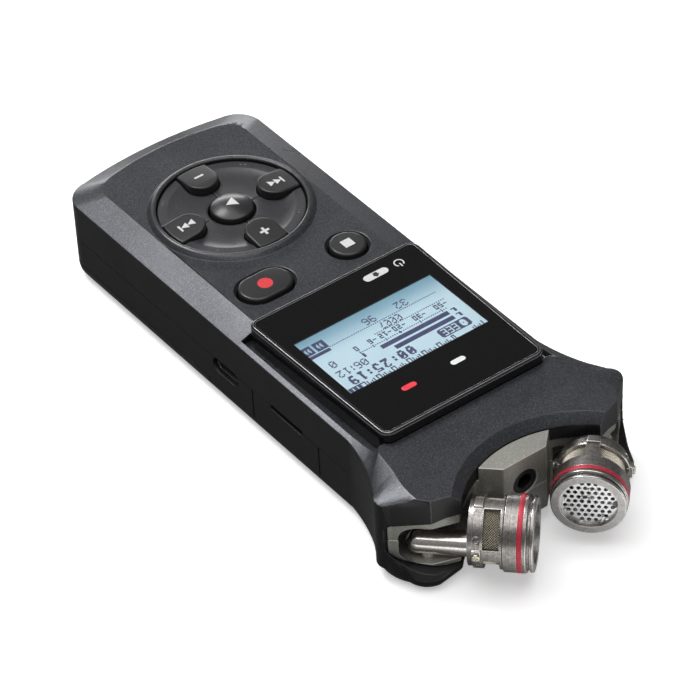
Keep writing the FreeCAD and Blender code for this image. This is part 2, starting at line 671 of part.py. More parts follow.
def chassis_plan(z0, z1):
    """Plan of the chassis: between the case walls behind, the horns' outline in front."""
    behind = prism(case_outline(z0).makeOffset2D(-WALL - FIT_GAP), z1 - z0)
    behind = behind.common(box(-HALF_HORN, HALF_HORN, tip(MOUTH_BACK - FIT_GAP), BODY_LENGTH, z0, z1))
    ahead = prism(case_outline(z0).makeOffset2D(-0.5), z1 - z0)
    ahead = ahead.common(box(-HALF_HORN, HALF_HORN, tip(MOUTH_SIDE - FIT_GAP), BODY_LENGTH, z0, z1))
    return behind.fuse(ahead)


def nose_plan(z0, z1):
    """Faceted block between the microphones that carries the input socket."""
    back = MOUTH_BACK - 2.0
    shoulder = NOSE_FRONT + NOSE_REACH - NOSE_HALF
    points = [(-NOSE_REACH, back), (NOSE_REACH, back), (NOSE_REACH, shoulder)]
    points += [(NOSE_HALF, NOSE_FRONT), (-NOSE_HALF, NOSE_FRONT), (-NOSE_REACH, shoulder)]
    corners = [Vector(x, tip(back), z0) for x, back in points]
    return Part.Face(Part.makePolygon(corners + [corners[0]])).extrude(Vector(0, 0, z1 - z0))


def make_chassis():
    low = MOUTH_LOW_Z + FIT_GAP
    high = MOUTH_TOP_Z - FIT_GAP
    solid = chassis_plan(low, high).common(mouth_opening(FIT_GAP)).fuse(nose_plan(low, high))
    nose_top = nose_plan(high, NOSE_TOP_Z)
    arc = prism(case_outline(high).makeOffset2D(FIT_GAP + 0.1), RIDGE_Z - high)
    nose_top = nose_top.cut(arc)
    solid = solid.fuse(nose_top).removeSplitter()
    for side in (-1, 1):
        solid = solid.cut(arm_slot(side))
        solid = solid.cut(post(side * PIVOT_X, PIVOT_Y, 0, ARM_Z, TRUNNION_RADIUS + TRUNNION_PLAY))
    front = Vector(0, tip(NOSE_FRONT) + 1, MIC_JACK_Z)
    hole = Part.makeCylinder(JACK_BODY + FIT_GAP, MOUTH_BACK, front, Vector(0, -1, 0))
    room_high = JACK_BODY + 2 * FIT_GAP
    room_front = tip(NOSE_FRONT + 1.7)
    room = box(-4.4, 4.4, tip(MOUTH_BACK) - 1, room_front, MIC_JACK_Z - room_high, MIC_JACK_Z + room_high)
    solid = solid.cut([hole, room])
    upper = solid.common(box(-HALF_HORN, HALF_HORN, 0, BODY_LENGTH, SEAM_Z + SEAM_GAP / 2, THICKNESS))
    lower = solid.common(box(-HALF_HORN, HALF_HORN, 0, BODY_LENGTH, 0, SEAM_Z - SEAM_GAP / 2))
    return upper, lower


# ---- display ------------------------------------------------------------------------
def make_display_frame():
    frame = frame_plan(FRAME_SEAT_Z, THICKNESS, 0, FRAME_CORNER)
    top = [e for e in frame.Edges if e.BoundBox.ZMin > THICKNESS - 0.01]
    frame = frame.makeChamfer(0.45, top)
    window_seat = THICKNESS - WINDOW_SINK - WINDOW_THICK - MASK_THICK
    frame = frame.cut(frame_plan(window_seat, THICKNESS + 1, -FRAME_RIM, FRAME_CORNER - 1.2))
    return frame.cut(frame_plan(FRAME_SEAT_Z - 1, THICKNESS, -FRAME_WALL, 1.0))


def lcd_box(margin, z0, z1):
    half = LCD_WIDTH / 2 + margin
    return box(-half, half, LCD_START - margin, LCD_START + LCD_LENGTH + margin, z0, z1)


def make_display():
    top = THICKNESS - WINDOW_SINK
    seat = top - WINDOW_THICK
    add("display_frame", make_display_frame())
    add("display_window", frame_plan(seat, top, -FRAME_RIM - 0.05, FRAME_CORNER - 1.2))
    mask = frame_plan(seat - MASK_THICK, seat, -FRAME_RIM - 0.05, FRAME_CORNER - 1.2)
    mask = mask.cut(lcd_box(0, 0, THICKNESS))
    lamps = {"peak_lamp": PEAK_X, "record_lamp": REC_X}
    for name, x in lamps.items():
        stretch = (LAMP_LENGTH - LAMP_WIDTH) / 2
        mask = mask.cut(pill(x, LAMP_Y, 0, THICKNESS, LAMP_WIDTH / 2, stretch))
        add(name, pill(x, LAMP_Y, seat - 3.0, seat - 0.05, LAMP_WIDTH / 2 - 0.02, stretch))
    add("display_mask", mask)
    lcd_top = seat - MASK_THICK
    add("lcd_panel", lcd_box(LCD_BORDER, lcd_top - LCD_THICK, lcd_top))


# ---- microphones ------------------------------------------------------------------------
def along(y0, y1, radius):
    """Cylinder on a microphone's axis between two distances from its pivot."""
    return Part.makeCylinder(radius, y1 - y0, Vector(0, y0, MIC_Z), Vector(0, 1, 0))


def tube(y0, y1, outer, inner):
    return along(y0, y1, outer).cut(along(y0 - 1, y1 + 1, inner))


def grille_holes(y0, y1):
    """Hexagonal field of holes inside the ring's bore."""
    holes = []
    row_step = GRILLE_PITCH * math.sqrt(3) / 2
    rows = int(RING_BORE / row_step)
    reach = RING_BORE - GRILLE_HOLE - 0.35
    for row in range(-rows, rows + 1):
        shift = GRILLE_PITCH / 2 if row % 2 else 0.0
        for column in range(-rows, rows + 1):
            x = column * GRILLE_PITCH + shift
            z = row * row_step
            if math.hypot(x, z) < reach:
                holes.append(Part.makeCylinder(GRILLE_HOLE, y1 - y0, Vector(x, y0, MIC_Z + z), Vector(0, 1, 0)))
    return holes


def make_microphone():
    """One microphone pointing straight ahead of its pivot at the origin."""
    pieces = {}
    disc = BACK_DISC_FROM_PIVOT
    flange = disc + BACK_DISC_THICK
    cage = flange + FLANGE_THICK
    ring = cage + CAGE_LENGTH
    face = ring + RING_LENGTH

    arm = Part.makeCylinder(ARM_RADIUS, disc + ELBOW_REACH, Vector(0, -ELBOW_REACH, ARM_Z), Vector(0, 1, 0))
    arm = arm.fuse(Part.makeSphere(ARM_RADIUS, Vector(0, -ELBOW_REACH, ARM_Z)))
    arm = arm.fuse(post(0, 0, SLOT_LOW_Z + 0.1, ARM_Z, POST_RADIUS))
    arm = arm.fuse(post(0, 0, MOUTH_LOW_Z + 0.9, ARM_Z, TRUNNION_RADIUS))
    pieces["arm"] = arm.removeSplitter()

    back = along(disc, flange, BACK_DISC_RADIUS).fuse(along(flange, cage, FLANGE_RADIUS))
    half = TAB_WIDTH / 2
    tall = FLANGE_RADIUS + TAB_HEIGHT
    tabs = box(-half, half, flange, cage, MIC_Z - tall, MIC_Z + tall)
    tabs = tabs.fuse(box(-tall, tall, flange, cage, MIC_Z - half, MIC_Z + half))
    back = back.fuse(tabs.common(along(flange, cage, tall)))
    pieces["back_cap"] = back.cut(along(cage - 1.0, cage + 1, CAGE_RADIUS - CAGE_WALL - 0.5)).removeSplitter()

    cage_shape = tube(cage, ring, CAGE_RADIUS, CAGE_RADIUS - CAGE_WALL)
    for quarter in range(4):
        middle = math.radians(45 + 90 * quarter)
        spread = math.radians(WINDOW_ANGLE / 2)
        reach = CAGE_RADIUS * 2
        points = [Vector(0, cage + 0.3, MIC_Z)]
        for turn in (middle - spread, middle, middle + spread):
            points.append(Vector(reach * math.cos(turn), cage + 0.3, MIC_Z + reach * math.sin(turn)))
        wedge = Part.Face(Part.makePolygon(points + [points[0]])).extrude(Vector(0, CAGE_LENGTH - 0.9, 0))
        cage_shape = cage_shape.cut(wedge)
    pieces["cage"] = cage_shape

    mesh_outer = CAGE_RADIUS - CAGE_WALL - 0.05
    pieces["mesh"] = tube(cage + 0.05, ring - 0.05, mesh_outer, mesh_outer - MESH_THICK)

    groove = face - FACE_THICK - FACE_GROOVE
    ring_shape = along(ring, groove, RING_RADIUS)
    edges = [e for e in ring_shape.Edges if e.Closed]
    ring_shape = ring_shape.makeChamfer(0.3, edges)
    ring_shape = ring_shape.fuse(along(groove, face - FACE_THICK, FACE_RADIUS - 0.7))
    plate = along(face - FACE_THICK, face, FACE_RADIUS)
    plate = plate.makeChamfer(0.2, [e for e in plate.Edges if e.Closed])
    ring_shape = ring_shape.fuse(plate)
    band_start = ring + BAND_FROM_BACK
    band_end = band_start + BAND_LENGTH
    inner = RING_RADIUS - BAND_DEPTH
    ring_shape = ring_shape.cut(tube(band_start, band_end, RING_RADIUS + 1, inner))
    ring_shape = ring_shape.cut(along(face - GRILLE_SINK, face + 1, RING_BORE))
    ring_shape = ring_shape.cut(along(face - GRILLE_SINK - GRILLE_THICK - 0.1, face, RING_BORE + 0.5))
    inner_lip = tube(face - GRILLE_SINK, face, RING_BORE + 1.0, RING_BORE)
    ring_shape = ring_shape.fuse(inner_lip)
    ring_shape = ring_shape.cut(along(ring - 1, face - GRILLE_SINK - GRILLE_THICK, RING_BORE - 0.3))
    pieces["front_ring"] = ring_shape.removeSplitter()
    pieces["band"] = tube(band_start + 0.02, band_end - 0.02, RING_RADIUS + 0.05, inner)

    grille_front = face - GRILLE_SINK
    grille_back = grille_front - GRILLE_THICK
    plate = along(grille_back, grille_front, RING_BORE + 0.45)
    pieces["grille"] = plate.cut(grille_holes(grille_back - 1, grille_front + 1))

    capsule_end = grille_back - 0.8
    body = along(capsule_end - CAPSULE_LENGTH, capsule_end, CAPSULE_RADIUS)
    holder = tube(ring + 0.2, ring + 1.4, RING_BORE - 0.35, CAPSULE_RADIUS - 0.4)
    pieces["capsule"] = body.fuse(holder).removeSplitter()

    screws = []
    for x_side in (-1, 1):
        for z_side in (-1, 1):
            x = x_side * (FLANGE_RADIUS + 0.25) * math.sin(math.radians(CAP_SCREW_TURN))
            z = MIC_Z + z_side * (FLANGE_RADIUS + 0.25) * math.cos(math.radians(CAP_SCREW_TURN))
            outward = Vector(x, 0, z - MIC_Z)
            outward.normalize()
            start = Vector(x, flange + FLANGE_THICK / 2, z) - outward * (CAP_SCREW_LENGTH - 0.1)
            screws.append(Part.makeCylinder(CAP_SCREW_RADIUS, CAP_SCREW_LENGTH, start, outward))
    hollow = Part.makeCompound(screws)
    pieces["back_cap"] = pieces["back_cap"].cut(hollow)
    pieces["screws"] = hollow
    return pieces


def make_microphones():
    for side, name in ((1, "right"), (-1, "left")):
        pieces = make_microphone()
        for piece, shape in pieces.items():
            shape = shape.copy()
            shape.rotate(Vector(0, 0, 0), Z_AXIS, side * MIC_ANGLE)
            shape.translate(Vector(side * PIVOT_X, PIVOT_Y, 0))
            add(name + "_mic_" + piece, shape)


# ---- inside ---------------------------------------------------------------------------
def cell_x():
    return CELL_RADIUS + CELL_GAP / 2


def make_power():
    z = WALL + 0.4 + CELL_RADIUS
    cells = []
    contacts = []
    for side in (-1, 1):
        x = side * cell_x()
        cell = Part.makeCylinder(CELL_RADIUS, CELL_LENGTH - 1.5, Vector(x, CELL_START, z), Vector(0, 1, 0))
        nub = Part.makeCylinder(2.7, 1.5, Vector(x, CELL_START + CELL_LENGTH - 1.5, z), Vector(0, 1, 0))
        cell = cell.fuse(nub).removeSplitter()
        if side > 0:
            cell = cell.mirror(Vector(0, CELL_START + CELL_LENGTH / 2, 0), Vector(0, 1, 0))
        cells.append(cell)
        for y in (CELL_START - 0.5, CELL_START + CELL_LENGTH + 0.1):
            contacts.append(box(x - 4, x + 4, y, y + 0.4, z - 4, z + 4))
    add("battery_cells", Part.makeCompound(cells))
    add("battery_contacts", Part.makeCompound(contacts))
    half = 2 * CELL_RADIUS + CELL_GAP + TRAY_WALL - FIT_GAP
    y0 = CELL_START - 0.6 - TRAY_WALL
    y1 = CELL_START + CELL_LENGTH + 0.6 + TRAY_WALL
    top = z + CELL_RADIUS + 0.3 + TRAY_WALL * 0.6
    tray = box(-half, half, y0, y1, WALL + 0.6, top)
    room = box(-half + TRAY_WALL - 0.2, half - TRAY_WALL + 0.2, y0 + TRAY_WALL, y1 - TRAY_WALL, 0, z)
    tray = tray.cut(room)
    for side in (-1, 1):
        x = side * cell_x()
        y = y0 + TRAY_WALL
        room = y1 - y0 - 2 * TRAY_WALL
        channel = Part.makeCylinder(CELL_RADIUS + 0.15, room, Vector(x, y, z), Vector(0, 1, 0))
        tray = tray.cut(channel)
    add("battery_tray", tray)
    return top


def make_boards(tray_top):
    inset = WALL + 0.6
    key_board_z = max(KEY_BOARD_Z, tray_top + 0.3)
    key_end = min(FRAME_START - 3 * WALL, ROCKER_Y - ROCKER_LENGTH / 2 - 2 * KEY_GAP)
    outline = case_outline(key_board_z).makeOffset2D(-inset)
    sheet = prism(outline, BOARD_THICK)
    limits = box(-HALF_BODY, HALF_BODY, 3, key_end, 0, THICKNESS)
    board = sheet.common(limits)
    add("key_board", board)
    mat_low = key_board_z + BOARD_THICK
    mat_high = KEY_BASE_Z - KEY_TRAVEL - 0.1
    mat = post(0, WHEEL_Y, mat_low, mat_high, WHEEL_RADIUS - 0.5)
    mat = mat.fuse(pill(STOP_X, STOP_Y, mat_low, mat_high, STOP_RADIUS + 0.5, 0))
    mat = mat.fuse(pill(RECORD_X, RECORD_Y, mat_low, mat_high, RECORD_RADIUS + 0.5, RECORD_STRETCH))
    bridge = box(-9, 9, WHEEL_Y + 10, STOP_Y, mat_low, mat_high)
    add("key_mat", mat.fuse(bridge).removeSplitter())
    main_start = DOOR_END + 2.5
    main_end = tip(MOUTH_BACK + 2 * WALL)
    half = HALF_BODY - WALL - 0.8
    main = box(-half, half, main_start, main_end, MAIN_BOARD_Z - BOARD_THICK, MAIN_BOARD_Z)
    clear = SCREW_RADIUS + 2.0
    for x, y in screw_places():
        reach = clear if abs(x) < half - 2 * clear else half
        xs = sorted((x - math.copysign(clear, x), x + math.copysign(reach, x)))
        main = main.cut(box(xs[0], xs[1], y - reach if y < TRIPOD_Y else y - clear, y + reach, 0, THICKNESS))
    usb_back = HALF_BODY - 1 - USB_DEPTH - 0.3
    usb_half = USB_WIDTH / 2 + 0.3
    main = main.cut(box(usb_back, HALF_BODY, USB_Y - usb_half, USB_Y + usb_half, 0, THICKNESS))
    main = main.cut(post(0, TRIPOD_Y, 0, THICKNESS, TRIPOD_BODY + 1))
    main = main.cut(post(0, SPEAKER_Y, 0, MAIN_BOARD_Z - 0.3, SPEAKER_RADIUS - 3))
    screws = []
    for x in (-half + 4, half - 4):
        for y in (TRIPOD_Y - 6, SPEAKER_Y - 4):
            main = main.cut(post(x, y, 0, THICKNESS, 0.9))
            head = post(x, y, MAIN_BOARD_Z, MAIN_BOARD_Z + 0.9, 1.6)
            screws.append(head.fuse(post(x, y, MAIN_BOARD_Z - 3, MAIN_BOARD_Z, 0.85)).removeSplitter())
    add("main_board", main)
    add("board_screws", Part.makeCompound(screws))


def make_sockets():
    usb_z = USB_Z
    shell = rounded_slot_x(HALF_BODY - 1 - USB_DEPTH, HALF_BODY - 1, USB_Y, usb_z, USB_WIDTH, USB_HEIGHT)
    inside = rounded_slot_x(HALF_BODY - USB_DEPTH, HALF_BODY, USB_Y, usb_z, USB_WIDTH - 0.6, USB_HEIGHT - 0.6)
    shell = shell.cut(inside)
    tongue = box(HALF_BODY - 1 - USB_DEPTH, HALF_BODY - 2, USB_Y - 3.2, USB_Y + 3.2, usb_z - 0.35, usb_z + 0.35)
    usb = shell.fuse(tongue).removeSplitter()
    add("usb_port", usb)

    card_z = SEAM_Z
    half = CARD_WIDTH / 2
    outer_x = HALF_BODY - CARD_SINK
    card_low = card_z - CARD_THICK / 2
    card = box(outer_x - CARD_LENGTH, outer_x, CARD_Y - half, CARD_Y + half, card_low, card_low + CARD_THICK)
    add("memory_card", card)
    socket_in = HALF_BODY - WALL - 1.0
    deep = outer_x - CARD_LENGTH - CARD_TRAVEL - 1.0
    socket = box(deep, socket_in, CARD_Y - half - 1, CARD_Y + half + 1, MAIN_BOARD_Z, card_z + 1.2)
    low = card_z - 0.6
    room = box(deep + 0.8, socket_in + 1, CARD_Y - half - 0.2, CARD_Y + half + 0.2, low, low + CARD_THICK + 0.4)
    add("card_socket", socket.cut(room))

    front = tip(NOSE_FRONT) - 0.2
    back = front - MIC_JACK_LENGTH
    jack = Part.makeCylinder(JACK_BODY, MIC_JACK_LENGTH, Vector(0, back, MIC_JACK_Z), Vector(0, 1, 0))
    jack = jack.fuse(box(-4.1, 4.1, back, front - 2.2, MIC_JACK_Z - JACK_BODY, MIC_JACK_Z + JACK_BODY))
    bore_start = Vector(0, back + 1, MIC_JACK_Z)
    jack = jack.cut(Part.makeCylinder(JACK_BORE, MIC_JACK_LENGTH, bore_start, Vector(0, 1, 0)))
    add("mic_jack", jack.removeSplitter())

    left = -HALF_BODY + 0.2
    z = SIDE_KEY_Z
    jack = Part.makeCylinder(JACK_BODY, PHONES_LENGTH, Vector(left, PHONES_Y, z), Vector(1, 0, 0))
    body = box(left + WALL + 0.4, left + PHONES_LENGTH, PHONES_Y - 3.4, PHONES_Y + 3.4, z - 3.0, z + 3.0)
    jack = jack.fuse(body)
    jack = jack.cut(Part.makeCylinder(JACK_BORE, PHONES_LENGTH, Vector(left - 1, PHONES_Y, z), Vector(1, 0, 0)))
    add("headphone_jack", jack.removeSplitter())

    bush = post(0, TRIPOD_Y, 0.3, TRIPOD_DEPTH + 1.2, TRIPOD_BODY)
    bush = bush.fuse(post(0, TRIPOD_Y, WALL + 0.2, WALL + 1.4, TRIPOD_BODY + 1.5))
    add("tripod_bush", bush.cut(post(0, TRIPOD_Y, 0, TRIPOD_DEPTH, TRIPOD_BORE)).removeSplitter())

    cone = post(0, SPEAKER_Y, WALL + 0.2, WALL + 2.2, SPEAKER_RADIUS)
    cone = cone.fuse(post(0, SPEAKER_Y, WALL + 2.2, MAIN_BOARD_Z - BOARD_THICK - 0.4, SPEAKER_RADIUS - 3))
    add("speaker", cone.removeSplitter())


def make_side_controls():
    z = SIDE_KEY_Z
    outside = -HALF_BODY - 0.9
    inside = -HALF_BODY + WALL + 0.4
    half = ROCKER_HEIGHT / 2
    reach = ROCKER_LENGTH / 2
    rocker = box(outside, inside, ROCKER_Y - reach, ROCKER_Y + reach, z - half, z + half)
    edges = [e for e in rocker.Edges if e.BoundBox.XMax < outside + 0.01]
    rocker = rocker.makeFillet(0.6, edges)
    waist = Part.makeCylinder(9.0, 10, Vector(outside - 8.6, ROCKER_Y, z - 5), Z_AXIS)
    rib = box(inside - 0.1, ROCKER_PIN_X, ROCKER_Y - ROCKER_PIN, ROCKER_Y + ROCKER_PIN, z - half, z + half)
    pin = post(ROCKER_PIN_X, ROCKER_Y, z - half - 1.0, z + half + 0.6, ROCKER_PIN)
    add("volume_rocker", rocker.cut(waist).fuse([rib, pin]).removeSplitter())
    y = HOLD_Y - HOLD_TRAVEL / 2
    knob = box(outside, inside, y - 3.5, y + 3.5, z - 1.3, z + 1.3)
    knob = knob.makeFillet(0.5, [e for e in knob.Edges if e.BoundBox.XMax < outside + 0.01])
    for index in range(3):
        rib = y - 1.6 + index * 1.6
        knob = knob.cut(box(outside - 1, outside + 0.35, rib - 0.3, rib + 0.3, z - 2, z + 2))
    add("hold_slider", knob)


def make_case_screws():
    screws = []
    for x, y in screw_places():
        head = post(x, y, 0.5, WALL + 0.3, SCREW_RADIUS + 0.9)
        cross = box(x - 1.1, x + 1.1, y - 0.25, y + 0.25, 0, 0.9)
        cross = cross.fuse(box(x - 0.25, x + 0.25, y - 1.1, y + 1.1, 0, 0.9))
        shank = post(x, y, WALL + 0.3, SEAM_Z - 0.6, SCREW_RADIUS)
        screws.append(head.fuse(shank).cut(cross).removeSplitter())
    add("case_screws", Part.makeCompound(screws))


# ---- build everything -------------------------------------------------------------------
rear = rear_solid()
add("front_case", make_front_case())
add("rear_case", make_rear_case(rear))
add("battery_door", make_battery_door(rear))
upper_chassis, lower_chassis = make_chassis()
add("chassis_upper", upper_chassis)
add("chassis_lower", lower_chassis)
make_display()
for key_name, key_angle in CROSS_KEYS.items():
    add(key_name, make_cross_key(key_angle))
for key_name, key_angle in QUADRANT_KEYS.items():
    add(key_name, make_quadrant_key(key_angle))
add("key_play", make_play_key())
add("key_stop", make_domed_key(STOP_X, STOP_Y, STOP_RADIUS, 0))
add("key_record", make_domed_key(RECORD_X, RECORD_Y, RECORD_RADIUS, RECORD_STRETCH))
tray_height = make_power()
make_boards(tray_height)
make_sockets()
make_side_controls()
make_case_screws()
make_microphones()

os.makedirs("parts", exist_ok=True)
to_origin = Vector(0, -TOTAL_LENGTH / 2, 0)
for part_name, part_shape in parts.items():
    part_shape = part_shape.copy()
    part_shape.translate(to_origin)
    solids = part_shape.Solids
    print(part_name, len(solids), round(part_shape.Volume, 2), part_shape.isValid())
    part_shape.exportStep("parts/" + part_name + ".step")
print("total length", round(TOTAL_LENGTH, 2))
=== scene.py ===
import json
import math
import bpy
from mathutils import Matrix, Vector


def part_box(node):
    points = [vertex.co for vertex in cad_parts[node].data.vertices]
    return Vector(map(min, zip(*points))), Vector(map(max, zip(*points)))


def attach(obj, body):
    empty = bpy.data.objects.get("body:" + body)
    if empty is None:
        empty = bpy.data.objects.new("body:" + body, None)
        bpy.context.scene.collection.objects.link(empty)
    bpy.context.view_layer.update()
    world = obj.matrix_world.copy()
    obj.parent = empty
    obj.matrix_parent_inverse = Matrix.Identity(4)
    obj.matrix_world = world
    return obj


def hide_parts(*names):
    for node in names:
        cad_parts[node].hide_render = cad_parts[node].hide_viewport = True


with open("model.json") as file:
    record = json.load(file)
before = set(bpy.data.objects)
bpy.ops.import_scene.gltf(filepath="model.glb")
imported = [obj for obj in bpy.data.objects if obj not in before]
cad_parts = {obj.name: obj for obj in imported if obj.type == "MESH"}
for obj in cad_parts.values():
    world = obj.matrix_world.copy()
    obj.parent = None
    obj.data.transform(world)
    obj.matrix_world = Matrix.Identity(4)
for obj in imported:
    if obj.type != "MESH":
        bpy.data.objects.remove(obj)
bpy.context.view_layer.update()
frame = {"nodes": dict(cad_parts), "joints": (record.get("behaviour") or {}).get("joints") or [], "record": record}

# ---- camera ------------------------------------------------------------------
# Looks down on the recorder from beyond the microphones and the side with the USB socket.
aim = Vector((0.00214, 0.00153, 0.013))
bearing = math.radians(55.451)
rise = math.radians(40.4716)
away = Vector((math.cos(rise) * math.cos(bearing), math.cos(rise) * math.sin(bearing), math.sin(rise)))
tilt = (-away).to_track_quat("-Z", "Y").to_matrix() @ Matrix.Rotation(math.radians(-3.4055), 3, "Z")
bpy.ops.object.camera_add()
camera = bpy.context.object
camera.data.lens = 205.714
camera.data.sensor_width = 36
camera.matrix_world = Matrix.Translation(aim + away * 0.8854) @ tilt.to_4x4()
bpy.context.scene.camera = camera

# ---- front case ----------------------------------------------------------------
# The moulded front half: a flat face with a bevel round it that runs out into two horns.
# Its face is sprayed a grained charcoal with fine flecks; the side walls get a smoother black that is much darker,
# partly their own finish and partly painted shade.
MM = 0.001


def pick(*pieces):
    """Selects these pieces alone; the first is the active one."""
    bpy.ops.object.select_all(action="DESELECT")
    for piece in pieces:
        piece.select_set(True)
    bpy.context.view_layer.objects.active = pieces[0]


def new_effect(name, inputs, outputs):
    """Empty shader group with its named sockets."""
    effect = bpy.data.node_groups.new(name, "ShaderNodeTree")
    for label, kind in inputs:
        effect.interface.new_socket(name=label, in_out="INPUT", socket_type="NodeSocket" + kind)
    for label, kind in outputs:
        effect.interface.new_socket(name=label, in_out="OUTPUT", socket_type="NodeSocket" + kind)
    return effect, effect.nodes.new("NodeGroupInput").outputs, effect.nodes.new("NodeGroupOutput").inputs


def put(tree, kind, **settings):
    """Adds a shader node; settings name its inputs, or its own properties."""
    made = tree.nodes.new("ShaderNode" + kind)
    for label, value in settings.items():
        if hasattr(made, label):
            setattr(made, label, value)
        else:
            made.inputs[label.replace("_", " ")].default_value = value
    return made


def blend_colours(tree, factor, first, second):
    mix = put(tree, "Mix", data_type="RGBA")
    tree.links.new(factor, mix.inputs[0])
    tree.links.new(first, mix.inputs[6])
    tree.links.new(second, mix.inputs[7])
    return mix.outputs[2]


# Grain of a moulded or sprayed surface: fine mottling, sparse bright flecks, faint hand marks.
grain_effect, taken, given = new_effect(
    "moulded grain",
    [("Vector", "Vector"), ("Grain", "Float"), ("Dark", "Color"), ("Light", "Color"), ("Flecks", "Float"),
     ("Roughness", "Float"), ("Spread", "Float")],
    [("Color", "Color"), ("Roughness", "Float"), ("Height", "Float")])
tree = grain_effect
mottle = put(tree, "TexNoise", Detail=3.0, Roughness=0.65)
tree.links.new(taken["Vector"], mottle.inputs["Vector"])
tree.links.new(taken["Grain"], mottle.inputs["Scale"])
flake_scale = put(tree, "Math", operation="MULTIPLY")
flake_scale.inputs[1].default_value = 1.3
tree.links.new(taken["Grain"], flake_scale.inputs[0])
flakes = put(tree, "TexVoronoi")
tree.links.new(taken["Vector"], flakes.inputs["Vector"])
tree.links.new(flake_scale.outputs[0], flakes.inputs["Scale"])
flake_pick = put(tree, "SeparateColor")
tree.links.new(flakes.outputs["Color"], flake_pick.inputs[0])
flake_sparse = put(tree, "Math", operation="POWER")
flake_sparse.inputs[1].default_value = 5.0
tree.links.new(flake_pick.outputs[0], flake_sparse.inputs[0])
flake_share = put(tree, "Math", operation="MULTIPLY")
tree.links.new(flake_sparse.outputs[0], flake_share.inputs[0])
tree.links.new(taken["Flecks"], flake_share.inputs[1])
mottle_share = put(tree, "MapRange", From_Min=0.3, From_Max=0.7, To_Min=0.0, To_Max=0.6)
tree.links.new(mottle.outputs[0], mottle_share.inputs[0])
both = put(tree, "Math", operation="ADD", use_clamp=True)
tree.links.new(flake_share.outputs[0], both.inputs[0])
tree.links.new(mottle_share.outputs[0], both.inputs[1])
tree.links.new(blend_colours(tree, both.outputs[0], taken["Dark"], taken["Light"]), given["Color"])
hands = put(tree, "TexNoise", Scale=70.0, Detail=4.0, Roughness=0.6)
tree.links.new(taken["Vector"], hands.inputs["Vector"])
hands_centred = put(tree, "MapRange", From_Min=0.3, From_Max=0.7, To_Min=-1.0, To_Max=1.0)
tree.links.new(hands.outputs[0], hands_centred.inputs[0])
rough = put(tree, "Math", operation="MULTIPLY_ADD")
tree.links.new(hands_centred.outputs[0], rough.inputs[0])
tree.links.new(taken["Spread"], rough.inputs[1])
tree.links.new(taken["Roughness"], rough.inputs[2])
tree.links.new(rough.outputs[0], given["Roughness"])
tree.links.new(mottle.outputs[0], given["Height"])


def grained(name, dark, light, grain, flecks, roughness, spread=0.05, metal=0.0, bump=0.1, coat=0.0):
    """Finish with the grain effect; grain is the number of mottles in a metre."""
    finish = bpy.data.materials.new(name)
    finish.use_nodes = True
    tree = finish.node_tree
    shader = tree.nodes["Principled BSDF"]
    place = put(tree, "TexCoord")
    effect = put(tree, "Group")
    effect.node_tree = grain_effect
    tree.links.new(place.outputs["Object"], effect.inputs["Vector"])
    effect.inputs["Grain"].default_value = grain
    effect.inputs["Dark"].default_value = (*dark, 1)
    effect.inputs["Light"].default_value = (*light, 1)
    effect.inputs["Flecks"].default_value = flecks
    effect.inputs["Roughness"].default_value = roughness
    effect.inputs["Spread"].default_value = spread
    relief = put(tree, "Bump", Strength=bump, Distance=0.00004)
    tree.links.new(effect.outputs["Height"], relief.inputs["Height"])
    tree.links.new(effect.outputs["Color"], shader.inputs["Base Color"])
    tree.links.new(effect.outputs["Roughness"], shader.inputs["Roughness"])
    tree.links.new(relief.outputs[0], shader.inputs["Normal"])
    shader.inputs["Metallic"].default_value = metal
    shader.inputs["Coat Weight"].default_value = coat
    shader.inputs["Coat Roughness"].default_value = 0.12
    return finish


def eased(node, finishes, edge, sharp=30, steps=2, edge_finish=0, flat=0.6, smooth=40):
    """Copy of a CAD node with its edges rounded, which then stands for the node."""
    source = frame["nodes"][node]
    piece = bpy.data.objects.new(node + "_eased", source.data.copy())
    bpy.context.collection.objects.link(piece)
    piece.data.materials.clear()
    for finish in finishes:
        piece.data.materials.append(finish)
    pick(piece)
    bpy.ops.object.mode_set(mode="EDIT")
    bpy.ops.mesh.select_all(action="SELECT")
    bpy.ops.mesh.remove_doubles(threshold=2e-6)
    bpy.ops.mesh.dissolve_limited(angle_limit=math.radians(flat))
    bpy.ops.object.mode_set(mode="OBJECT")
    if edge:
        rounding = piece.modifiers.new("rounding", "BEVEL")
        rounding.width = edge
        rounding.segments = steps
        rounding.limit_method = "ANGLE"
        rounding.angle_limit = math.radians(sharp)
        rounding.use_clamp_overlap = False
        rounding.material = edge_finish
        bpy.ops.object.modifier_apply(modifier="rounding")
    bpy.ops.object.shade_smooth_by_angle(angle=math.radians(smooth))
    if edge:
        even = piece.modifiers.new("even", "WEIGHTED_NORMAL")
        even.keep_sharp = True
        bpy.ops.object.modifier_apply(modifier="even")
    body = next(b for b, members in frame["record"]["behaviour"]["bodies"].items() if node in members)
    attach(piece, body)
    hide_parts(node)
    return piece


def paint_where(piece, index, chosen):
    """Gives the faces that chosen() picks the finish with this index."""
    for face in piece.data.polygons:
        if chosen(face):
            face.material_index = index


face_paint = grained("charcoal face paint", (0.016, 0.017, 0.023), (0.118, 0.121, 0.132), 4600, 0.60, 0.31,
                     metal=0.50, bump=0.30)
satin_black_with_shade = grained("satin black, painted shade on case walls", (0.010, 0.010, 0.011), (0.020, 0.020, 0.022), 2200, 0.15, 0.34,
                     bump=0.06, coat=0.05)
case_edge_highlight = grained("case edge, painted highlight", (0.030, 0.030, 0.032), (0.09, 0.09, 0.092), 2600, 0.3, 0.28,
                    metal=0.3)
satin_black_with_shade.node_tree.nodes["Principled BSDF"].inputs["Specular IOR Level"].default_value = 0.3
# The rounded edges get the lighter edge finish, a painted highlight along them.
front_case = eased("front_case", [face_paint, satin_black_with_shade, case_edge_highlight], 0.16 * MM, sharp=18, edge_finish=2,
                   smooth=16)
# Faces that do not face up get the darker wall black: painted shade on the side walls.
paint_where(front_case, 1, lambda face: face.material_index == 0 and face.normal.z < 0.55)

